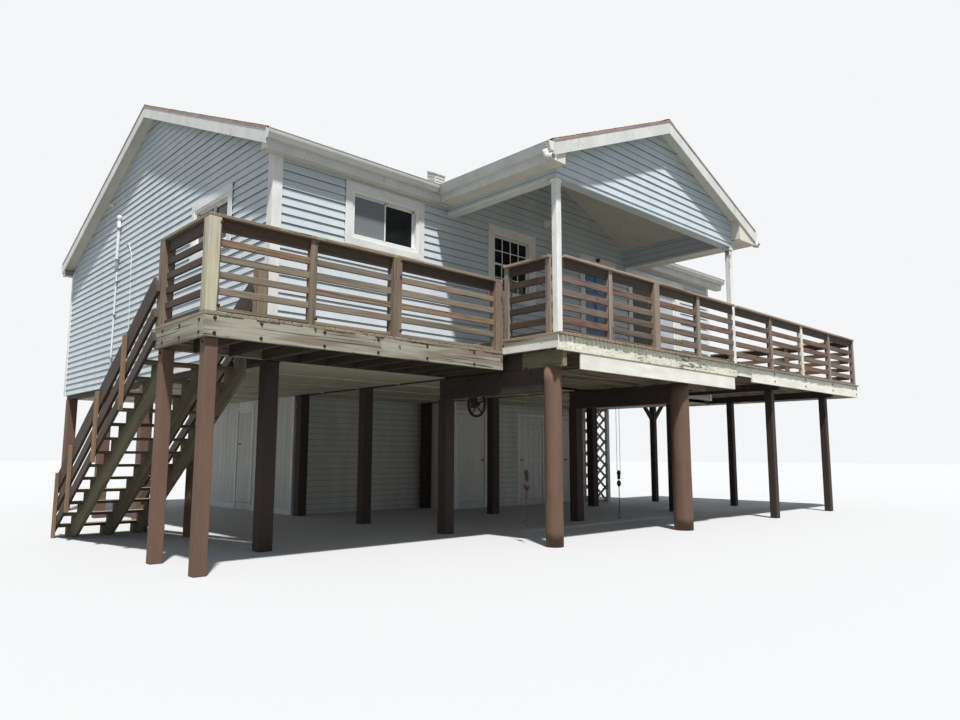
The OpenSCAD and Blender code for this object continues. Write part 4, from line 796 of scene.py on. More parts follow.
def tube(name, path, width, height, finish, bore=0.0, sides=16, square=0.0, body="house"):
    """A pipe along a path, round or squared, with an open bore at its last end where one is given."""
    rings, points = [], []
    for i, p in enumerate(path):
        way = (path[min(i + 1, len(path) - 1)] - path[max(i - 1, 0)]).normalized()
        side = way.cross(Vector((0, 0, 1)))
        side = side.normalized() if side.length > 0.1 else Vector((1, 0, 0))
        if rings and side.dot(rings[-1][1]) < 0:
            side = -side
        rings.append((p, side, side.cross(way), 1.0))
    if bore:
        rings += [(p, side, up, bore) for p, side, up, share in reversed(rings)]
    for p, side, up, share in rings:
        for k in range(sides):
            c, s = math.cos(2 * math.pi * k / sides), math.sin(2 * math.pi * k / sides)
            grow = (1 - square + square / max(abs(c), abs(s))) * share / 2
            points.append(p + side * (c * grow * width) + up * (s * grow * height))
    return show(name, solid_mesh(name, points, ring_faces(len(rings), sides), finish, True), None, body)


bend = [(95, 112), (95, 150), (92, 176), (80, 200), (58, 220), (30, 232), (-10, 238), (-34, 238)]
for label, x in (("left", porch_left - 52), ("right", porch_right + 52)):
    route = [at(x, porch_front + y, gutter_top - z) for y, z in bend]
    tube(label + "_elbow", route, 0.108, 0.094, gutter_metal, bore=0.9, square=0.4)

# Porch
# A gable roof on two square posts and two side beams, clad like the house, with the front beam
# lined in the same siding. The posts' paint has peeled in strips.
beam_z, beam_w = 5132, 140
post_l, post_r = 3089, 8190


def porch_gable_reach(z):
    """The ends of the porch gable at a height."""
    half = porch_half - (z - 5389) / slope
    return (max(post_l, ridge_x - half), min(post_r, ridge_x + half))


gable = lap_courses(lambda a, out, z: at(a, -2338 - out, z), beam_z, 6640, porch_gable_reach)
gable += lap_courses(lambda a, out, z: at(a, -2198 + out, z), beam_z, 6455, ceiling_reach)
for x, way, top in ((post_l, -1, soffit_underside), (post_l + beam_w, 1, 5370), (post_r - beam_w, -1, 5514),
                    (post_r, 1, soffit_underside)):
    gable += lap_courses(lambda a, out, z: at(x + way * out, a, z), beam_z, top, lambda z: (-2338, 0))
hexahedra("porch_lap_siding", gable, blue_vinyl)
paint_node("porch_gable_walls", plaster)
rows = [plank(x - 24, -2178, 5122, x + beam_w + 24, -22, 5146) for x in (post_l, post_r - beam_w)]
boards("beam_trim", rows, trim_paint, seed=26, edge=0.003)
rows = [plank(post_l - 24, -2366, 5122, post_r + 24, -2354, 5148),
        plank(post_l - 22, -2353, 5124, post_r + 22, -2180, 5144)]
boards("front_beam_lining", rows, blue_vinyl, seed=27, spread=0, edge=0.002)
# Chalky white paint that has split and peeled in long strips from the posts
peeling_white = timber("peeling_white_post_paint", "#7B7263", "#A89E8A", "#9F957F", paint="#F1F2F0",
                       peel=0.29, mildew=0.1, roughness=0.6, relief=0.002, spots="#77766A")
post_rows = []
for x in (post_l + 50, post_r - 50):
    post_rows.append(plank(x - 50, -2352, floor_z, x + 50, -2252, 5095))
    post_rows.append(plank(x - 62, -2364, 5065, x + 62, -2240, 5118))
boards("porch_posts", post_rows, peeling_white, seed=28, edge=0.006)
beams = [plank(x, -2198, beam_z, x + beam_w, -1, top) for x, top in ((post_l, 5370), (post_r - beam_w, 5510))]
boards("porch_beams", beams, plaster, "porch_supports", seed=29, edge=0)

# Windows
# White vinyl sliders and a sash window, each in a frame with flat trim over the siding's ends.
# They are nailed to the studs; screens grey the left sash, and the rooms behind are dark.

# Window vinyl: smooth, satin, faintly grey where dust sits
window_vinyl = flat_finish("white_window_vinyl", ("#ECEDEB", "#E2E4E3", "#B4B7B3"), 0.35, stain=0.3, spot=9)
# Glass before dark rooms: near black, with a faint haze
dark_glass, tree, shader = new_finish("window_glass", 0.04, IOR=1.5, Specular_IOR_Level=0.22)
place = add(tree, "ShaderNodeTexCoord").outputs["Object"]
haze = add(tree, "ShaderNodeTexNoise", {"Vector": place, "Scale": 1.1, "Detail": 3.0})
haze = add(tree, "ShaderNodeMapRange", {"Value": haze, "From Min": 0.35, "From Max": 0.7})
haze = add(tree, "ShaderNodeMix", {0: haze, 6: linear("#0E1112"), 7: linear("#23292C")}, data_type="RGBA")
tree.links.new(haze.outputs[2], shader.inputs["Base Color"])
paint_node("window_glass", dark_glass)
paint_node("window_frames", window_vinyl)
# Insect screen: black glass-fibre mesh, one soft grey from a distance. Threads are drawn 6 mm apart.
screen_mesh, tree, shader = new_finish("insect_screen", 0.8)
place = add(tree, "ShaderNodeTexCoord").outputs["Object"]
threads = [add(tree, "ShaderNodeTexWave", {"Vector": place, "Scale": 52.0}, bands_direction=way)
           for way in ("Z", "X")]
weave = add(tree, "ShaderNodeMath", {0: threads[0], 1: threads[1]}, operation="MULTIPLY")
weave = add(tree, "ShaderNodeMix", {0: weave, 6: linear("#666C70"), 7: linear("#8B9296")}, data_type="RGBA")
tree.links.new(weave.outputs[2], shader.inputs["Base Color"])


def bar(place, a0, a1, z0, z1, out0, out1):
    """One bar between two corners: place(a, out, z) puts a point from an opening's lower corner."""
    ends = [p * 1000 + Vector((inset, inset, 0)) for p in (place(a0, out0, z0), place(a1, out1, z1))]
    return plank(*ends[0], *ends[1])


def flat_trim(name, place, width, height, sill=True):
    """Flat boards round an opening, over the ends of the siding."""
    parts = [(-115, 0, 0, height), (width, width + 115, 0, height), (-115, width + 115, height, height + 115)]
    if sill:
        parts.append((-115, width + 115, -115, 0))
    rows = [bar(place, *part, 0, 32) for part in parts]
    boards(name + "_trim", rows, trim_paint, seed=74, edge=0.003)


def sash_window(name, place, width, height, kind):
    """Trim, two sashes and their screen or muntins in one opening; a sash stands 45 mm inside it."""
    flat_trim(name, place, width, height)
    j, rows, screens = 45, [], []
    middle, lock = width / 2, height / 2
    if kind == "slider":
        sashes = [(j, middle + 22, j, height - j, -38), (middle - 22, width - j, j, height - j, -52)]
        a0, a1, z0, z1 = j + 30, middle - 5, j + 30, height - j - 30
        screens = [[place(a, out, z) for z in (z0, z1)
                    for a, out in ((a0, -27), (a1, -27), (a1, -30), (a0, -30))]]
    else:
        sashes = [(j, width - j, j, lock + 17, -52), (j, width - j, lock - 17, height - j, -38)]
    for a0, a1, z0, z1, out in sashes:
        for part in ((a0, a0 + 34, z0, z1), (a1 - 34, a1, z0, z1),
                     (a0, a1, z0, z0 + 34), (a0, a1, z1 - 34, z1)):
            rows.append(bar(place, *part, out - 9, out + 9))
        if kind == "hung":
            for i in range(1, 4):
                a = j + 34 + (width - 2 * j - 68) * i / 4
                rows.append(bar(place, a - 9, a + 9, z0 + 34, z1 - 34, out - 6, out + 6))
            z = (z0 + z1) / 2
            rows.append(bar(place, j + 34, width - j - 34, z - 9, z + 9, out - 5, out + 5))
    boards(name + "_sashes", rows, window_vinyl, seed=70, spread=0, edge=0.002)
    if screens:
        hexahedra(name + "_screen", screens, screen_mesh)


sash_window("front_slider", lambda a, out, z: at(1240 + a, -out, 4370 + z), 1240, 720, "slider")
sash_window("porch_window", lambda a, out, z: at(4135 + a, -out, 4010 + z), 980, 1080, "hung")
sash_window("left_slider", lambda a, out, z: at(-out, 2575 - a, 4370 + z), 1240, 720, "slider")
sash_window("right_slider", lambda a, out, z: at(house_l + out, 5680 + a, 4370 + z), 1240, 720, "slider")
for i, x in enumerate((2290, 5725, 9160)):
    sash_window("back_slider_%d" % i, lambda a, out, z: at(x + 620 - a, house_w + out, 4370 + z),
                1240, 720, "slider")

# Upper doors
# The entry door is a six-panel leaf in painted steel, petrol blue; the sliding door is vinyl with
# two tall lights under a deep header board. Neither opens here.
flat_trim("entry_door", lambda a, out, z: at(6650 + a, -out, floor_z + z), 860, 2030, False)
flat_trim("sliding_door", lambda a, out, z: at(8260 + a, -out, floor_z + z), 1800, 2030, False)
# Door enamel: smooth satin teal
teal_enamel = flat_finish("teal_door_enamel", ("#12688E", "#0E5A7C", "#0C435E"), 0.35, stain=0.2, spot=9)
paint_node("entry_door", teal_enamel)
# Brass: rubbed dull by hands
brass, tree, shader = new_finish("worn_brass", 0.3, Metallic=1.0, Base_Color=linear("#B08D4A"))
rows = []
for z0, h in ((3010, 560), (3690, 640), (4450, 370)):
    for x0 in (6745, 7095):
        for a0, a1, b0, b1 in ((x0, x0 + 320, z0, z0 + 22), (x0, x0 + 320, z0 + h - 22, z0 + h),
                               (x0, x0 + 22, z0, z0 + h), (x0 + 298, x0 + 320, z0, z0 + h)):
            rows.append(plank(a0, 16, b0, a1, 27, b1))
boards("entry_door_mouldings", rows, teal_enamel, seed=71, spread=0, edge=0.004)
# A sheet of pale sun film on the fixed leaf
sun_film = flat_finish("pale_sun_film", ("#B4C0C8", "#A9B6BF", "#8E9AA2"), 0.4, stain=0.2)
boards("sliding_door_film", [plank(9200, 24, 2992, 9954, 27, 4812)], sun_film,
       seed=75, spread=0, edge=0)
boards("sliding_door_header", [plank(8060, -42, 4934, 10330, -2, 5165)], trim_paint, seed=72,
       edge=0.004)
rows = []
for x0, x1, y in ((8305, 9180, 52), (9140, 10015, 36)):
    for a0, a1, b0, b1 in ((x0, x0 + 60, 2902, 4885), (x1 - 60, x1, 2902, 4885), (x0, x1, 2902, 2990),
                           (x0, x1, 4815, 4885)):
        rows.append(plank(a0, y - 10, b0, a1, y + 10, b1))
boards("sliding_door_leaves", rows, window_vinyl, seed=73, spread=0, edge=0.003)


def turned(name, centre, axis, profile, finish, sides=20, ring=False):
    """A turned mesh: profile gives (distance along the axis, radius) in mm, closed on itself for a ring."""
    side = axis.orthogonal().normalized()
    up = axis.cross(side)
    angles = [2 * math.pi * k / sides for k in range(sides)]
    points = [centre + axis * (d / 1000) + (side * math.cos(a) + up * math.sin(a)) * (max(r, 0.2) / 1000)
              for d, r in profile for a in angles]
    return solid_mesh(name, points, ring_faces(len(profile), sides, ring), finish, not ring)


def lathe(name, centre, axis, profile, finish, body="house", sides=20, ring=False,
          node=None):
    """A turned piece, put in the scene."""
    return show(name, turned(name, centre, axis, profile, finish, sides, ring), node, body)


knob_profile = [(0, 30), (4, 30), (6, 12), (34, 11), (38, 22), (48, 27), (58, 25), (64, 14), (65, 1)]
lathe("entry_door_knob", at(7400, 26, 3870), forth, knob_profile, brass)
lathe("entry_door_lock", at(7400, 26, 4010), forth, [(0, 28), (10, 27), (14, 20), (15, 1)], brass)

# Walkway and landing
# Pine joists behind a rim board, under deck boards laid across them, all left to the weather.
# The rim has greyed and gone green, with knots and pairs of bolts; the board ends are ragged.

# Weathered rim: matt grey-green wood with brown streaks
green_rim = timber("mildewed_rim_pine", "#77766A", "#B5B3A5", "#A2957F", roughness=0.9, relief=0.002,
                   streak="#77655A")
# Deck boards: silver-brown, rough, with dark checks
deck_pine = timber("weathered_deck_pine", "#655A4E", "#A59B8A", "#A08A6C", roughness=0.9, relief=0.002)
# Joists under the decks: a dark brown copy of the wood, painted shade
shade_dark_joist_pine = timber("painted_shade_joist_pine", "#251F18", "#4C4031", "#5C4A34", roughness=0.85)
walk_front, walk_left = -1358, -1409
rows = [plank(walk_left, walk_front, 2450, 846, walk_front + 38, 2685, 0.55),
        plank(849, walk_front, 2448, 3017, walk_front + 38, 2684, 0.4),
        plank(walk_left, walk_front + 40, 2450, walk_left + 38, 50, 2685, 0.3),
        plank(walk_left + 40, 12, 2450, -2, 50, 2685, 0.5)]
boards("walkway_rims", rows, green_rim, seed=30, spread=0.05)
boards("walkway_ledger", [plank(0, -38, 2450, 3017, 0, 2685)], shade_dark_stain, seed=29)
landing = range(walk_left + 450, walk_left + 1800, 450)
rows = [plank(x, walk_front + 40, 2450, x + 38, 10, 2685) for x in landing]
rows += [plank(x, walk_front + 40, 2450, x + 38, -40, 2685) for x in [*range(0, 3150, 450), 2979]]
boards("walkway_joists", rows, shade_dark_joist_pine, "walkway_frame", seed=31)


def decking(x0, x1, y0, y1, z, pitch, gap, seed, ragged=10):
    """Deck boards side by side along y, each cut a little long or short at its open end y0. The other
    end, y1, is one value or gives one for each x."""
    rng = random.Random(seed)
    rows = []
    while x0 < x1 - 20:
        back = y1(x0) if callable(y1) else y1
        way = 1 if back > y0 else -1
        ends = sorted((y0 - way * rng.uniform(-3, ragged), back))
        rows.append(plank(x0, ends[0], z - 38, min(x0 + pitch, x1) - gap, ends[1], z - rng.uniform(0, 2)))
        x0 += pitch
    return rows


rows = decking(walk_left, 3019, walk_front, lambda a: 50 if a < -60 else -2, walk_z, 144, 6, 5)
boards("walkway_boards", rows, deck_pine, "walkway_deck", seed=32)

# Porch deck
# A higher deck on joists that run along the house. Its front rims are three boards of different
# depth and age: a mildewed one, a set-back patch and a smoother one, all once painted white.

# Peeling white paint with black mildew, over grey wood
mouldy_white = timber("peeling_mildewed_white_paint", "#5A5648", "#8A8674", "#8E866C", paint="#ECEBDA",
                      peel=0.28, mildew=0.72, roughness=0.75, relief=0.0022, spots="#4C4C40")
# Sounder white paint with a few rusty stains
clean_white = timber("worn_white_paint", "#7B7565", "#9A9483", "#9A9483", paint="#F2F2E8", peel=0.07,
                     mildew=0.36, roughness=0.6, relief=0.001, spots="#7A6A55")
deck_left, deck_right, rim_front, rim_back = 3019, 14056, -2412, -2374
rows = [plank(deck_left, rim_front, 2650, 8048, rim_back, joist_top)]
boards("mildewed_rim", rows, mouldy_white, seed=33)
rows = [plank(3012, -2410, 2806, 3018, -40, joist_top)]
boards("left_rim_strip", rows, green_rim, seed=46, edge=0.002)
rows = [plank(x0, y0, foot, x1, y1, joist_top) for x0, y0, foot, x1, y1 in (
    (deck_left, -2372, joist_foot, 3057, -40), (8050, -2397, joist_foot, 8658, rim_back),
    (8660, rim_front, 2600, deck_right, rim_back), (14018, -2372, 2600, deck_right, 2410),
    (house_l, 2412, joist_foot, deck_right, 2450))]
boards("sound_rims", rows, clean_white, "porch_rims", seed=34)
rows = [plank(deck_left, -38, joist_foot, house_l, 0, joist_top),
        plank(11452, -38, joist_foot, 11490, 2410, joist_top)]
boards("porch_ledgers", rows, shade_dark_joist_pine, seed=35)
rows = [plank(x, y - 19, joist_foot, 14016, y + 19, joist_top)
        for x, places in ((3059, range(-2150, 0, 450)), (11492, range(100, 2400, 450))) for y in places]
boards("porch_joists_sawn", rows, deck_pine, "porch_joists", seed=36)
rows = [plank(x, -2243, girder_z, x + 38, 0, joist_foot) for x in (3650, 8162)]
rows += [plank(3690, y - 19, girder_z, 8160, y + 19, joist_foot) for y in (-1700, -1250, -800, -350)]
boards("inner_frame_joists", rows, deck_pine, seed=37)
rows = [plank(3650, -2290, girder_z, 8200, -2245, joist_foot)]
boards("inner_frame_front", rows, green_beam, "inner_porch_frame", seed=38)
# White facing board on blocks in front of the inner frame
bright_white = timber("sound_white_paint", "#7B7565", "#9A9483", "#9A9483", paint="#F4F4EC", peel=0.06,
                      mildew=0.12, roughness=0.55, relief=0.0008, spots="#8A8472")
rows = [plank(3509, -2402, 2419, 7980, -2377, 2648)]
boards("inner_white_board", rows, bright_white, seed=44)
rows = [plank(x, -2376, girder_z, x + 89, -2291, 2640) for x in range(3660, 7950, 850)]
boards("facing_blocks", rows, green_beam, seed=45)
rows = decking(deck_left, deck_right, -2446, -2, floor_z, 97, 12, 6, ragged=8)
boards("porch_boards", rows, deck_pine, "porch_deck", seed=39)
rows = decking(house_l, deck_right, 2475, 0, floor_z, 97, 12, 7)
boards("side_boards", rows, deck_pine, "side_deck", seed=40)

# Stair
# Fourteen treads of two boards each on three sawn stringers, with a sloping rail on posts.
# Brown once, now grey, and bleached along the nosings.

# Stair timber: rough and grey-brown, dull
stair_pine = timber("worn_stair_pine", "#4C4638", "#948C74", "#94835F", roughness=0.9, relief=0.002)
rise, going = 181.53, 270
fall = rise / going
rows = []
for i in range(1, 15):
    y, z = 50 + (i - 1) * going, walk_z - i * rise
    rows += [plank(walk_left, y, z - 38, walk_left + 1200, y + 124, z - 1, 0.3 + 0.4 * (i % 3) / 2),
             plank(walk_left, y + 131, z - 38, walk_left + 1200, y + 255, z, 0.8 - 0.4 * (i % 2))]
boards("stair_tread_boards", rows, stair_pine, "stair_treads", seed=41)
notched = []
for x in (walk_left + 170, walk_left + 660, walk_left + 1110):
    for i in range(14):
        y0, y1, top = 50 + going * i, 50 + going * (i + 1), 2685 - rise * (i + 1)
        feet = [max(0, 2213 - fall * (y - 50)) for y in (y0, y1)]
        corners = ((x, y0, feet[0]), (x + 45, y0, feet[0]), (x + 45, y1, feet[1]), (x, y1, feet[1]))
        notched.append([at(*corner) for corner in corners] + [at(x, y, top) for x, y, z in corners])
stringers = hexahedra("stair_stringers_sawn", notched, stair_pine, "stair_stringers")
grained(stringers, Vector((0, 1, -fall)).normalized())
# Railing timber: brown stain worn to orange and grey, split along the grain
rail_pine = timber("weathered_railing_pine", "#4E463C", "#9A8F7D", "#9A7C5C", roughness=0.85, relief=0.0022)
shaded_rail_pine = timber("red_brown_railing_pine", "#42342C", "#87796E", "#846450", roughness=0.85,
                          relief=0.0022)
# Stain on the stair's posts: faded to reddish tan
stair_post_pine = timber("faded_stair_post_pine", "#5E4636", "#9C8064", "#A8805C", roughness=0.85)
# Boards under the caps: dark brown, painted shade of the caps
cap_shade_pine = timber("painted_shade_railing_pine", "#241B15", "#473A2E", "#54402F", roughness=0.8)


def nose(y):
    """Height of the line of the nosings at a distance down the stair."""
    return walk_z - rise - fall * (y - 50)


rows, posts, lean = [], [], math.cos(math.atan(fall))
# Each rail: its x, where it starts, its boards (top above the nosings, height), its posts' height and places
for x, start, sloping, top, spots in (
        (walk_left - 19, 10, ((800, 235), (400, 140), (120, 140)), 770, (928, 1900, 2966, 3560)),
        (-190, 50, ((1020, 235), (750, 140), (480, 140), (120, 140)), 990, (1900, 3560))):
    for up, height in sloping:
        p, q = [at(x, y, nose(y) + up - height / lean / 2) for y in (start, 3711)]
        rows.append(slanted(p, q, 0.038, height / 1000))
    side = -38 if x < -1000 else 38
    posts += [plank(x + side - 19, y - 44, nose(y) - 180, x + side + 19, y + 44, nose(y) + top)
              for y in spots]
# The stair's rail boards take the dark finish of the boards under the caps: painted shade
boards("stair_rail_boards", rows, cap_shade_pine, "stair_railing", seed=42)
boards("stair_rail_posts", posts, stair_post_pine, seed=43)
newel = plank(-209, -90, walk_z, -69, 50, 3623)
boards("stair_newel", [newel], rail_pine, seed=47, edge=0.005)

# Railings
# Posts bolted to the decks carry horizontal boards on their outer face and a flat cap.
# Stain has worn off in stripes; yellow-green lichen grows on the caps.

# Lichened cap: rough grey wood with yellow-green crusts
cap_pine = timber("lichened_cap_pine", "#5E5145", "#978B79", "#9C8265", paint="#9A9468", peel=0.53,
                  roughness=0.95, relief=0.003)
# Bare posts: brown-grey, furrowed
post_pine = timber("weathered_post_pine", "#564940", "#948371", "#987253", roughness=0.85, relief=0.0026)
# Bleached pine on the porch side: pinkish grey
pale_post_pine = timber("bleached_post_pine", "#5F534B", "#A6988D", "#967A63", roughness=0.85, relief=0.0026)
pink_cap_pine = timber("bleached_cap_pine", "#6B5C53", "#B9A799", "#A58973", roughness=0.9, relief=0.003)
# Newer treated posts: pale grey-green
corner_pine = timber("treated_corner_post_pine", "#A09C88", "#D0CCBB", "#C2B596", roughness=0.85,
                     relief=0.002)


def rail_run(start, along, length, posts, height, rails, seed=1, cuts=(), lead=0):
    """One straight run: along is 'x' or 'y', posts are (distance, width) and rails (foot, height) over
    the deck. The cap starts a lead before the boards, to cover a corner post."""
    rng = random.Random(seed)
    x, y, z = start

    def piece(a0, a1, half, z0, z1, tint):
        """A board or post of this run, between two distances along it."""
        if along == "x":
            return plank(x + a0, y - half, z + z0, x + a1, y + half, z + z1, tint)
        return plank(x - half, y + a0, z + z0, x + half, y + a1, z + z1, tint)

    top = height - 38
    stops = [0, length] + [p for p, w in posts if 60 < p < length - 60] + [c for cut in cuts for c in cut]
    stops.sort()
    lower, tops, uprights, caps = [], [], [], []
    for a0, a1 in zip(stops, stops[1:]):
        if (a0, a1) in cuts:
            continue
        a1 = a1 - (4 if a1 < length else 0)
        tops.append(piece(a0, a1, 19, top - 140, top - 1, rng.uniform(0.2, 0.7)))
        for foot, tall in rails:
            lift = rng.uniform(-5, 5)
            lower.append(piece(a0, a1, 19, foot + lift, foot + tall + lift + rng.uniform(-3, 3),
                               rng.choice((0.15, 0.35, 0.55, 0.7, 0.9))))
    a = -lead
    while a < length - 10:
        b = min(a + 2440, length)
        if length - b < 600:
            b = length
        tint = rng.uniform(0.3, 0.7)
        inside = [cut for cut in cuts if a < cut[0] and cut[1] < b]
        ends = [a] + [c for cut in inside for c in cut] + [b - (3 if b < length else 0)]
        caps += [piece(a0, a1, 70, top, height, tint) for a0, a1 in zip(ends[::2], ends[1::2])]
        a = b
    for p, w in posts:
        uprights.append(piece(p - w / 2, p + w / 2, w / 2, 0, top, rng.uniform(0.2, 0.8)))
    return lower, tops, uprights, caps


walk_rails = [(15, 42), (200, 78), (378, 78), (556, 78), (730, 78)]
walk_posts = [(1143, 89), (2358, 140), (4216, 140)]
walk_runs = [rail_run((walk_left + 70, walk_front + 141, walk_z), "y", 1267, [(1197, 140)], 1067, walk_rails,
                      lead=141),
             rail_run((-1267, walk_front + 70, walk_z), "x", 4286, walk_posts, 1067, walk_rails, 2)]
porch_rails = [(12, 40), (143, 95), (338, 95), (533, 95), (728, 95)]
porch_posts = [(1082.5, 89), (2292.5, 140), (3620.8, 89)] + [(4949 + i * 1467.9, 89) for i in range(1, 5)]
porch_runs = [rail_run((x, y, floor_z), along, length, posts, 1108, porch_rails, seed, cuts)
              for x, y, along, length, posts, seed, cuts in (
                  (3191, -2342, "x", 10865, porch_posts, 3, [(4897, 5001)]),
                  (3089, -2250, "y", 892, [(44.5, 89), (847.5, 89)], 4, []),
                  (13986, -2270, "y", 4578, [(1481.5, 89), (3007.5, 89), (4533.5, 89)], 5, []),
                  (house_l, 2380, "x", 2606, [(44.5, 89), (1303, 89), (2561.5, 89)], 6, []))]
# The two short runs that face the stair's side take the dark finish of the boards under the caps on all their
# boards: painted shade
for run in (walk_runs[0], porch_runs[1]):
    run[1].extend(run[0])
    run[0].clear()
boards("painted_rail_post", [porch_runs[0][2].pop(4)], mouldy_white, seed=48, edge=0.005)
corner = plank(walk_left, walk_front, walk_z, walk_left + 140, walk_front + 140, 3752, 0.6)
boards("walkway_corner_post", [corner], corner_pine, seed=49, edge=0.005)
for label, runs, node, seed, finishes in (
        ("walkway", walk_runs, "walkway_railing", 50, (rail_pine, cap_shade_pine, post_pine, cap_pine)),
        ("porch", porch_runs, "porch_railing", 60,
         (shaded_rail_pine, cap_shade_pine, pale_post_pine, pink_cap_pine))):
    for i, (kind, finish) in enumerate(zip(("rails", "top_boards", "posts", "caps"), finishes)):
        boards(label + "_" + kind, [row for run in runs for row in run[i]], finish,
               None if i else node, seed=seed + i, spread=0.1, edge=0.005 if i > 1 else 0.004)

# Storage rooms
# Two rooms under the house: fronts in grey-white lap siding, the other walls in white sheets
# with upright grooves, nailed to studs. White casings frame the doors, all on a low kerb.

# Siding of the fronts: grey-white, dull, with a band of painted shade and some dirt under each lap
shed_siding = flat_finish("pale_grey_siding", ("#CDCEC8", "#C0C2BC", "#86877F"), 0.55, stain=0.4,
                          streaks=(1, 1, 0.2), course=course_h)
# Paint on the grooved sheets: white, stained from the kerb up
sheet_paint = flat_finish("white_grooved_sheet_paint", ("#D9DAD7", "#CDCFCC", "#8E8C82"), 0.6, stain=0.5,
                          streaks=(1, 1, 0.25), spot=12)
shed_top, shed_left, shed_front = girder_z, 3150, 3800
for node in ("storage_front_walls", "storage_outer_walls", "storage_heads"):
    paint_node(node, sheet_paint)
door_spots = [(6750, 870), (8820, 870), (10540, 760)]
courses = []
for y, ends, holes in ((4850, (3330, 6530), []),
                       (shed_front, (6690, 11350), [(x - 70, x + w + 70, 0, 2260) for x, w in door_spots])):
    courses += lap_courses(lambda a, out, z: at(a, y - out, z), 20, shed_top, lambda z: ends, holes,
                           foot=-42, proud=14)
hexahedra("storage_lap_siding", courses, shed_siding)
casings = []
for x, w in door_spots:
    casings += [plank(a, 3778, 10, a + 70, shed_front, 2180) for a in (x - 72, x + w + 2)]
    casings.append(plank(x - 72, 3776, 2184, x + w + 72, shed_front, 2262))
for x0, y0, x1, y1 in ((3250, 4826, 3335, 4850), (6525, 4826, 6600, 4850), (6600, 3776, 6688, shed_front),
                       (6578, 3776, 6600, 3864), (11352, 3776, house_l, shed_front), (3128, 4826, 3248, 4850),
                       (3128, 4852, shed_left, 4940)):
    casings.append(plank(x0, y0, 0, x1, y1, shed_top))
boards("storage_casings", casings, trim_paint, seed=80, edge=0.003)
skirts = [plank(3130, 4942, 0, shed_left, 6682, 110), plank(3130, 7398, 0, shed_left, 9360, 110),
          plank(3140, 6690, 2172, shed_left, 7390, shed_top), plank(3126, 6620, 12, shed_left, 6686, 2240),
          plank(3126, 7394, 12, shed_left, 7460, 2240), plank(3126, 6620, 2244, shed_left, 7460, 2310)]


def strips(a, end, hole=(0, 0)):
    """The strips between the grooves of a sheet wall from a to end, cut round a doorway."""
    found = []
    while a < end:
        b = min(a + 196, end)
        found += [(max(a, c), min(b, e)) for c, e in ((a, hole[0] or end), (hole[1], end)) if hole[1] or c]
        a += 203
    return [(c, e) for c, e in found if e - c > 12]


grooves = [plank(3141, a, 112, shed_left, b, shed_top) for a, b in strips(4942, 9360, (6618, 7462))]
grooves += [plank(house_l, a, 112, 11459, b, shed_top) for a, b in strips(3892, 9360)]
grooves += [plank(a, house_w, 112, b, 9459, shed_top) for a, b in strips(3242, 11358)]
boards("grooved_sheets", grooves, sheet_paint, seed=81, spread=0, edge=0.002)
for x, out in ((shed_left, -22), (house_l, 22)):
    skirts += [plank(x, 9362, 0, x + out, 9472, shed_top),
               plank(x, house_w, 0, x + (90 if out < 0 else -90), 9472, shed_top)]
skirts += [plank(house_l, 3776, 0, 11472, 3890, shed_top), plank(house_l, 3892, 0, 11470, 9360, 110),
           plank(3242, house_w, 0, 11358, 9470, 110)]
boards("west_wall_trim", skirts, trim_paint, seed=82, edge=0.003)

# Storage doors
# A flush door, a six-panel door and a plain end door on steel hinges, and a batten door
# in the west wall. White enamel, scuffed grey near the foot.

# White enamel: scuffed, half gloss
door_enamel = flat_finish("scuffed_white_door_enamel", ("#D8D7D2", "#CDCCC7", "#8A8780"), 0.42, stain=0.55,
                          spot=10)
# Zinc-plated steel gone dull; its crystals are drawn 2 cm wide
hinge_steel, tree, shader = new_finish("dull_zinc_steel", 0.45, Metallic=1.0)
place = add(tree, "ShaderNodeTexCoord").outputs["Object"]
zinc = add(tree, "ShaderNodeTexNoise", {"Vector": place, "Scale": 60.0, "Detail": 4.0})
zinc = add(tree, "ShaderNodeMix", {0: zinc, 6: linear("#7D7A74"), 7: linear("#A9A7A1")}, data_type="RGBA")
tree.links.new(zinc.outputs[2], shader.inputs["Base Color"])
for node in ("flush_door", "panelled_door", "end_door", "batten_door"):
    paint_node(node, door_enamel)
# Six raised panels: two columns of three, in a leaf 854 mm wide and 2014 mm high
rows = []
pw, leaf_h = (854 - 360) / 2, 2014
panel_heights = [share * leaf_h for share in (0.34, 0.28, 0.1)]
for i in range(2):
    for z0, zh in zip((200, 320 + 0.34 * leaf_h, 440 + 0.62 * leaf_h), panel_heights):
        a, b = 8828 + 120 + i * (pw + 120), 158 + z0
        for p in ((a + 22, 3796, b + 22, a + pw - 22, 3808, b + zh - 22),
                  (a, 3797, b, a + pw, 3808, b + 12), (a, 3797, b + zh - 12, a + pw, 3808, b + zh),
                  (a, 3797, b, a + 12, 3808, b + zh), (a + pw - 12, 3797, b, a + pw, 3808, b + zh)):
            rows.append(plank(*p))
boards("door_panels", rows, door_enamel, body="panelled_door", seed=83, spread=0, edge=0.006)
for body, x in (("flush_door", 7550), ("panelled_door", 8895), ("end_door", 10610)):
    lathe(body + "_knob", at(x, shed_front, 1110), forth, knob_profile, hinge_steel, body=body)
battens = [plank(3137, y, 162, shed_left, 7378 if y == 7267 else y + 106, 2168)
           for y in range(6702, 7380, 113)]
boards("batten_door_boards", battens, sheet_paint, body="batten_door", seed=84, spread=0,
       edge=0.003)
latch = [(0, 26), (5, 26), (8, 10), (30, 9), (34, 20), (46, 24), (54, 20), (57, 1)]
lathe("batten_door_latch", at(3138, 7250, 1460), leftward, latch, hinge_steel, body="batten_door")
hinges = {"flush_door": (6750, 1), "panelled_door": (9690, -1), "end_door": (11300, -1)}
for body, (x, way) in hinges.items():
    rows = [plank(x + way * 4, 3790, z, x + way * 16, shed_front, z + 90) for z in (330, 1120, 1940)]
    boards(body + "_hinges", rows, hinge_steel, body=body, seed=85, spread=0, edge=0.003)

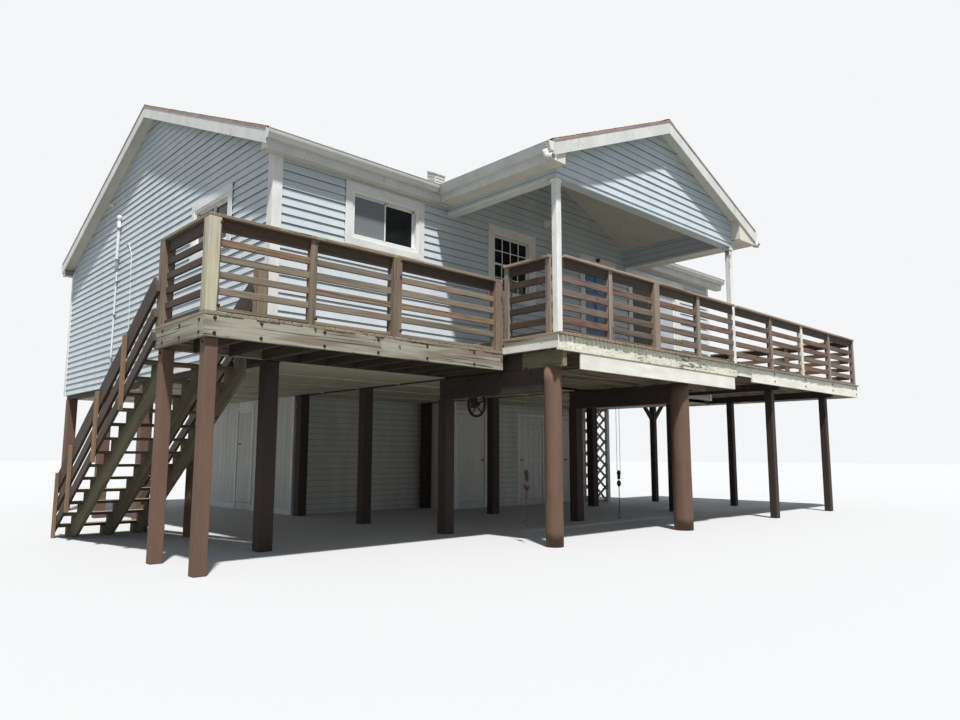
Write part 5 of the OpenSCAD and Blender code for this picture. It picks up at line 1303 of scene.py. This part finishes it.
# Lattice
# Thin crossed slats stapled to a frame beside the end door, under the right end of the house.
# The same white paint as the trim, thin at the crossings.
slats = []
y0, y1, top = 3046, 3794, 2434
for k in range(-3, 9):
    for way in (1, -1):
        base = k * 300 if way > 0 else k * 300 + y1 - y0
        ends = [min(max(z, 30), top - 24) for z in (base, base + way * (y1 - y0))]
        if abs(ends[1] - ends[0]) > 40:
            p, q = [at(11420 + 5 * way, y0 + (z - base) / way, z) for z in ends]
            slats.append(slanted(p, q, 0.008, 0.064))
for a, low, b, high in ((3040, 0, shed_front, 50), (3040, 2390, shed_front, shed_top),
                        (3040, 50, 3090, 2390), (3750, 50, shed_front, 2390)):
    slats.append(plank(11407, a, low, 11433, b, high))
boards("lattice_slats", slats, trim_paint, "lattice_panel", seed=86, edge=0.002)
post = plank(11365, 2985, 0, 11475, 3036, shed_top)
boards("lattice_post", [post], trim_paint, seed=87, edge=0.004)

# Bolts and screws
# Hot-dip galvanised bolts with washers, gone brown with rust, hold the rims, beams and posts.
# One head is made once and set at every place by a node tree.

# This tree sets one small object at every point, turned as the point says
repeated_fittings, start = new_tree("repeated_fittings", {"Points": "Geometry", "Fitting": "Object",
                                                          "Finish": "Material"}, "Fittings")
points, fitting, finish = [start.outputs[key] for key in ("Points", "Fitting", "Finish")]
part = add(repeated_fittings, "GeometryNodeObjectInfo", {"Object": fitting, "As Instance": True})
turn = add(repeated_fittings, "GeometryNodeInputNamedAttribute", {"Name": "turn"}, data_type="FLOAT_VECTOR")
laid = add(repeated_fittings, "GeometryNodeInstanceOnPoints",
           {"Points": points, "Instance": part.outputs["Geometry"], "Rotation": turn})
laid = add(repeated_fittings, "GeometryNodeRealizeInstances", {"Geometry": laid})
laid = add(repeated_fittings, "GeometryNodeSetMaterial", {"Geometry": laid, "Material": finish})
add(repeated_fittings, "NodeGroupOutput", {"Fittings": laid})


def fittings(name, part_mesh, rows, finish):
    """Sets a part at every (point, turn) and keeps the result as one plain mesh."""
    part = bpy.data.objects.new(name + "_part", part_mesh)
    bpy.context.collection.objects.link(part)
    made = grown(name, rows, {"turn": "FLOAT_VECTOR"}, repeated_fittings, {"Fitting": part, "Finish": finish})
    bpy.data.objects.remove(part)
    show(name, made)


# Rusty iron: brown-black and rough, with orange bloom
rusty_iron, tree, shader = new_finish("rusty_iron", 0.75, Metallic=0.4)
place = add(tree, "ShaderNodeTexCoord").outputs["Object"]
bloom = add(tree, "ShaderNodeTexNoise", {"Vector": place, "Scale": 45.0, "Detail": 5.0})
bloom = add(tree, "ShaderNodeMapRange", {"Value": bloom, "From Min": 0.42, "From Max": 0.72})
crust = add(tree, "ShaderNodeMix", {0: bloom, 6: linear("#201B19"), 7: linear("#4B352A")}, data_type="RGBA")
dent = add(tree, "ShaderNodeBump", {"Height": bloom, "Distance": 0.0008})
tree.links.new(crust.outputs[2], shader.inputs["Base Color"])
tree.links.new(dent.outputs[0], shader.inputs["Normal"])

on_front, on_left = (math.pi / 2, 0, 0), (0, -math.pi / 2, 0)
bolt_head = turned("bolt_head", Vector((0, 0, 0)), Vector((0, 0, 1)),
                   [(-1, 21), (3, 21), (3, 12), (11, 12), (13, 9)], rusty_iron, sides=8)
bolts = []
for x in (-1298, -770, 30, 800, 1590, 2440):
    bolts += [(at(x, walk_front, z), on_front) for z in (2655, 2492)]
for y in (-1225, -700, -200):
    bolts += [(at(walk_left, y, z), on_left) for z in (2640, 2505)]
for x in (left_line, right_line):
    for y in (-1800, -1200, -500, 60):
        bolts += [(at(x - 70, y, z), on_left) for z in (2370, 2190)]
    bolts += [(at(x, -2145, 2275), on_front)]
bolts += [(at(-1371, y, 2400), on_left) for y in (-1250, -58)]
for x in (9608, 11076, 12544, 13980):
    bolts += [(at(x, rim_front, z), on_front) for z in (2820, 2680)]
for x, y in ((-1269, -1358), (-124, -1402), (1091, -1428), (2949, -1428)):
    bolts += [(at(x, y, z), on_front) for z in (2790, 3700)]
fittings("carriage_bolts", bolt_head, bolts, rusty_iron)

# Boat hoist
# A spoked iron hand wheel turns a shaft under the left lift beam. From each beam a wire rope
# hangs in two parts round a sheave block, with a chain and hook below it.
hub, axle = at(3350, -450, 2010), Vector((1, 0, 0))
rim = [(-20, 172), (-20, 196), (-14, 200), (-7, 190), (7, 190), (14, 200), (20, 196), (20, 172), (10, 166),
       (-10, 166)]
lathe("wheel_rim", hub, axle, rim, rusty_iron, "hoist_wheel", 48, True, "hoist_wheel")
lathe("wheel_hub", hub, axle, [(-22, 21), (-22, 38), (-10, 42), (10, 42), (22, 38), (22, 21)],
      rusty_iron, "hoist_wheel", 24, True)
for i in range(5):
    a = 2 * math.pi * i / 5 + 0.3
    spoke = [hub + Vector((0, math.cos(a), math.sin(a))) * r for r in (0.036, 0.07, 0.12, 0.174)]
    tube("wheel_spoke_%d" % i, spoke, 0.016, 0.026, rusty_iron, sides=10, body="hoist_wheel")
shaft = [(0, 19), (52, 19), (54, 19), (106, 19), (108, 26), (122, 26), (124, 14), (128, 13)]
lathe("wheel_shaft", at(3272, -450, 2010), axle, shaft, rusty_iron)
rows = [plank(3271, -510, 1955, 3283, -390, girder_z), plank(3284, -480, 1975, 3300, -420, 2050)]
boards("wheel_hanger", rows, rusty_iron, seed=90, spread=0, edge=0.003)


def chain_link():
    """One oval link of 7 mm wire, 46 mm long."""
    points = []
    for i in range(14):
        a = 2 * math.pi * i / 14
        way = Vector((math.cos(a), 0, math.sin(a)))
        for k in range(6):
            b = 2 * math.pi * k / 6
            points.append(Vector((0.0105 * way.x, 0, 0.0195 * way.z))
                          + (way * math.cos(b) + Vector((0, math.sin(b), 0))) * 0.0035)
    return solid_mesh("chain_link", points, ring_faces(14, 6, True), rusty_iron)


# Wire rope: grey steel strands, greased and dusty. Strands are drawn 9 mm apart.
wire_rope, tree, shader = new_finish("greased_wire_rope", 0.55, Metallic=0.6)
place = add(tree, "ShaderNodeTexCoord").outputs["Object"]
lay = add(tree, "ShaderNodeTexWave", {"Vector": place, "Scale": 35.0}, bands_direction="DIAGONAL")
lay = add(tree, "ShaderNodeMix", {0: lay, 6: linear("#3A3835"), 7: linear("#77736B")}, data_type="RGBA")
tree.links.new(lay.outputs[2], shader.inputs["Base Color"])


def hoist(label, x, y, z, end):
    """Rope, sheave block, swivel, chain and hook below one beam's underside; z is the sheave's height, and
    the chain ends near a last height. The rope runs 34 mm from the sheave's middle."""
    r = 34
    route = [at(x, y - r, lift_foot - (lift_foot - z) * i / 12) for i in range(13)]
    turns = [math.pi * i / 10 for i in range(1, 10)]
    route += [at(x, y - r * math.cos(a), z - r * math.sin(a)) for a in turns]
    route += [at(x, y + r, z + (lift_foot - z) * i / 12) for i in range(13)]
    rope = tube(label + "_rope", route, 0.008, 0.008, wire_rope, sides=8)
    groove = [(-8, 9), (-8, 40), (-4, 30), (4, 30), (8, 40), (8, 9)]
    sheave = lathe(label + "_sheave", at(x, y, z), axle, groove, rusty_iron, "house", 28, True)
    pin = [(0, 14), (6, 14), (7, 8), (33, 8), (34, 14), (40, 14)]
    lathe(label + "_pin", at(x - 20, y, z), axle, pin, rusty_iron)
    cheeks = [plank(x + side, y - 26, z - 92, x + side + 4, y + 26, z + 50) for side in (-14, 10)]
    cheeks.append(plank(x - 14, y - 26, z - 104, x + 14, y + 26, z - 92))
    boards(label + "_cheeks", cheeks, rusty_iron, seed=91, spread=0, edge=0.0015)
    swivel = [(0, 8), (22, 8), (30, 24), (52, 36), (92, 38), (120, 26), (136, 10), (148, 8)]
    lathe(label + "_swivel", at(x, y, z - 104), Vector((0, 0, -1)), swivel, rusty_iron)
    top = z - 258
    links = [(at(x, y, top - 14 - 32 * i), (0, 0, math.pi / 2 * (i % 2)))
             for i in range(int((top - end) / 32))]
    fittings(label + "_chain", chain_link(), links, rusty_iron)
    low = top - 32 * len(links) - 4
    curl = [(0, 10), (0, -12), (10, -26), (24, -42), (27, -62), (16, -80), (-4, -84), (-20, -72), (-24, -56)]
    curl = [at(x, y + a, low + b) for a, b in curl]
    tube(label + "_hook", curl, 0.013, 0.013, rusty_iron, sides=10)


hoist("left_hoist", left_line, -1640, 970, 300)
hoist("right_hoist", right_line, -870, 905, 190)

# Service mast and wall fittings
# A white conduit with a weather head runs up the gable, held by straps, with a thin cable beside
# it. Over the entry door are a board with a small lamp, and a round wall light.
tube("service_mast", [at(-56, 6270, z) for z in (4800, 5000, 5300, 5600, 5820)], 0.06, 0.06, gutter_metal)
weather_head = [(0, 34), (10, 36), (40, 46), (66, 50), (90, 42), (106, 24), (112, 4)]
lathe("service_mast_head", at(-56, 6270, 5815), Vector((0, 0, 1)), weather_head, gutter_metal)
riser = [at(-42, 6270, z) for z in (2530, 3200, 4000, 4500, 4720, 4810)]
tube("riser_conduit", riser, 0.035, 0.035, gutter_metal)
cable_path = [(5800, 5200), (5770, 5240), (5700, 5230), (5620, 5130), (5520, 4990), (5480, 4600),
              (5440, 4100), (5410, 3650), (5405, 3100), (5400, 2560)]
tube("wall_cable", [at(-27, y, z) for y, z in cable_path], 0.012, 0.012, gutter_metal, sides=8)
straps = [plank(-60, 6226, z, -18, 6314, z + 26) for z in (3050, 3900, 4560)]
straps += [plank(-90, 6222, z, -18, 6318, z + 30) for z in (5000, 5640)]
straps += [plank(-36, 5400 + i * 14, 2900 + i * 520, -18, 5424 + i * 14, 2912 + i * 520) for i in range(4)]
boards("conduit_straps", straps, hinge_steel, seed=92, spread=0, edge=0.003)
insulator = [(0, 12), (20, 12), (22, 30), (40, 34), (52, 22), (60, 22), (72, 34), (88, 28), (92, 6)]
lathe("cable_insulator", at(-20, 6780, 6260), leftward, insulator, window_vinyl)
boards("door_header_board", [plank(6520, -36, 5060, 7700, -2, 5180)], trim_paint, seed=93,
       edge=0.003)
# Lamp enamel: black, dusty
black_enamel = flat_finish("black_lamp_enamel", ("#19191A", "#222224", "#3C3C3B"), 0.45, stain=0.4, spot=30)
boards("door_lamp", [plank(7030, -46, 5086, 7130, -36, 5158), plank(7048, -110, 5098, 7112, -47, 5146)],
       black_enamel, seed=94, spread=0, edge=0.008)
lathe("door_lamp_lens", at(7080, -110, 5120), forth, [(0, 22), (8, 20), (14, 12), (16, 2)], window_vinyl)
globe = [(0, 78), (12, 78), (18, 66), (30, 62), (64, 60), (92, 48), (108, 28), (114, 4)]
lathe("porch_wall_light", at(5545, -18, 5550), forth, globe, window_vinyl, sides=32)

# Roof vent
# A square white metal hood with louvred sides on the front slope, folded from sheet steel.
# It stands on a flashing that is tucked under the shingles.


def on_slope(x, y, up):
    """A point over the front slope, up above the shingles."""
    return at(x, y, eave_top + slope * (y + eave_over) + 14 + up)


def sloped_box(x0, x1, y0, y1, low, high):
    """The corners of a box that stands square on the slope, for hexahedra."""
    return [on_slope(x, y, up) for up in (low, high) for x, y in ((x0, y0), (x1, y0), (x1, y1), (x0, y1))]


vent = [sloped_box(3513, 3739, 812, 1038, 0, 252), sloped_box(3501, 3751, 800, 1050, 240, 262),
        sloped_box(3523, 3729, 822, 1028, 252, 268), sloped_box(3461, 3791, 760, 1090, -2, 3)]
for i in range(3):
    vent.append(sloped_box(3530, 3722, 806, 814, 60 + 56 * i, 78 + 56 * i))
    vent.append(sloped_box(3507, 3515, 830, 1020, 60 + 56 * i, 78 + 56 * i))
hexahedra("roof_vent_hood", vent, gutter_metal, "roof_vent")
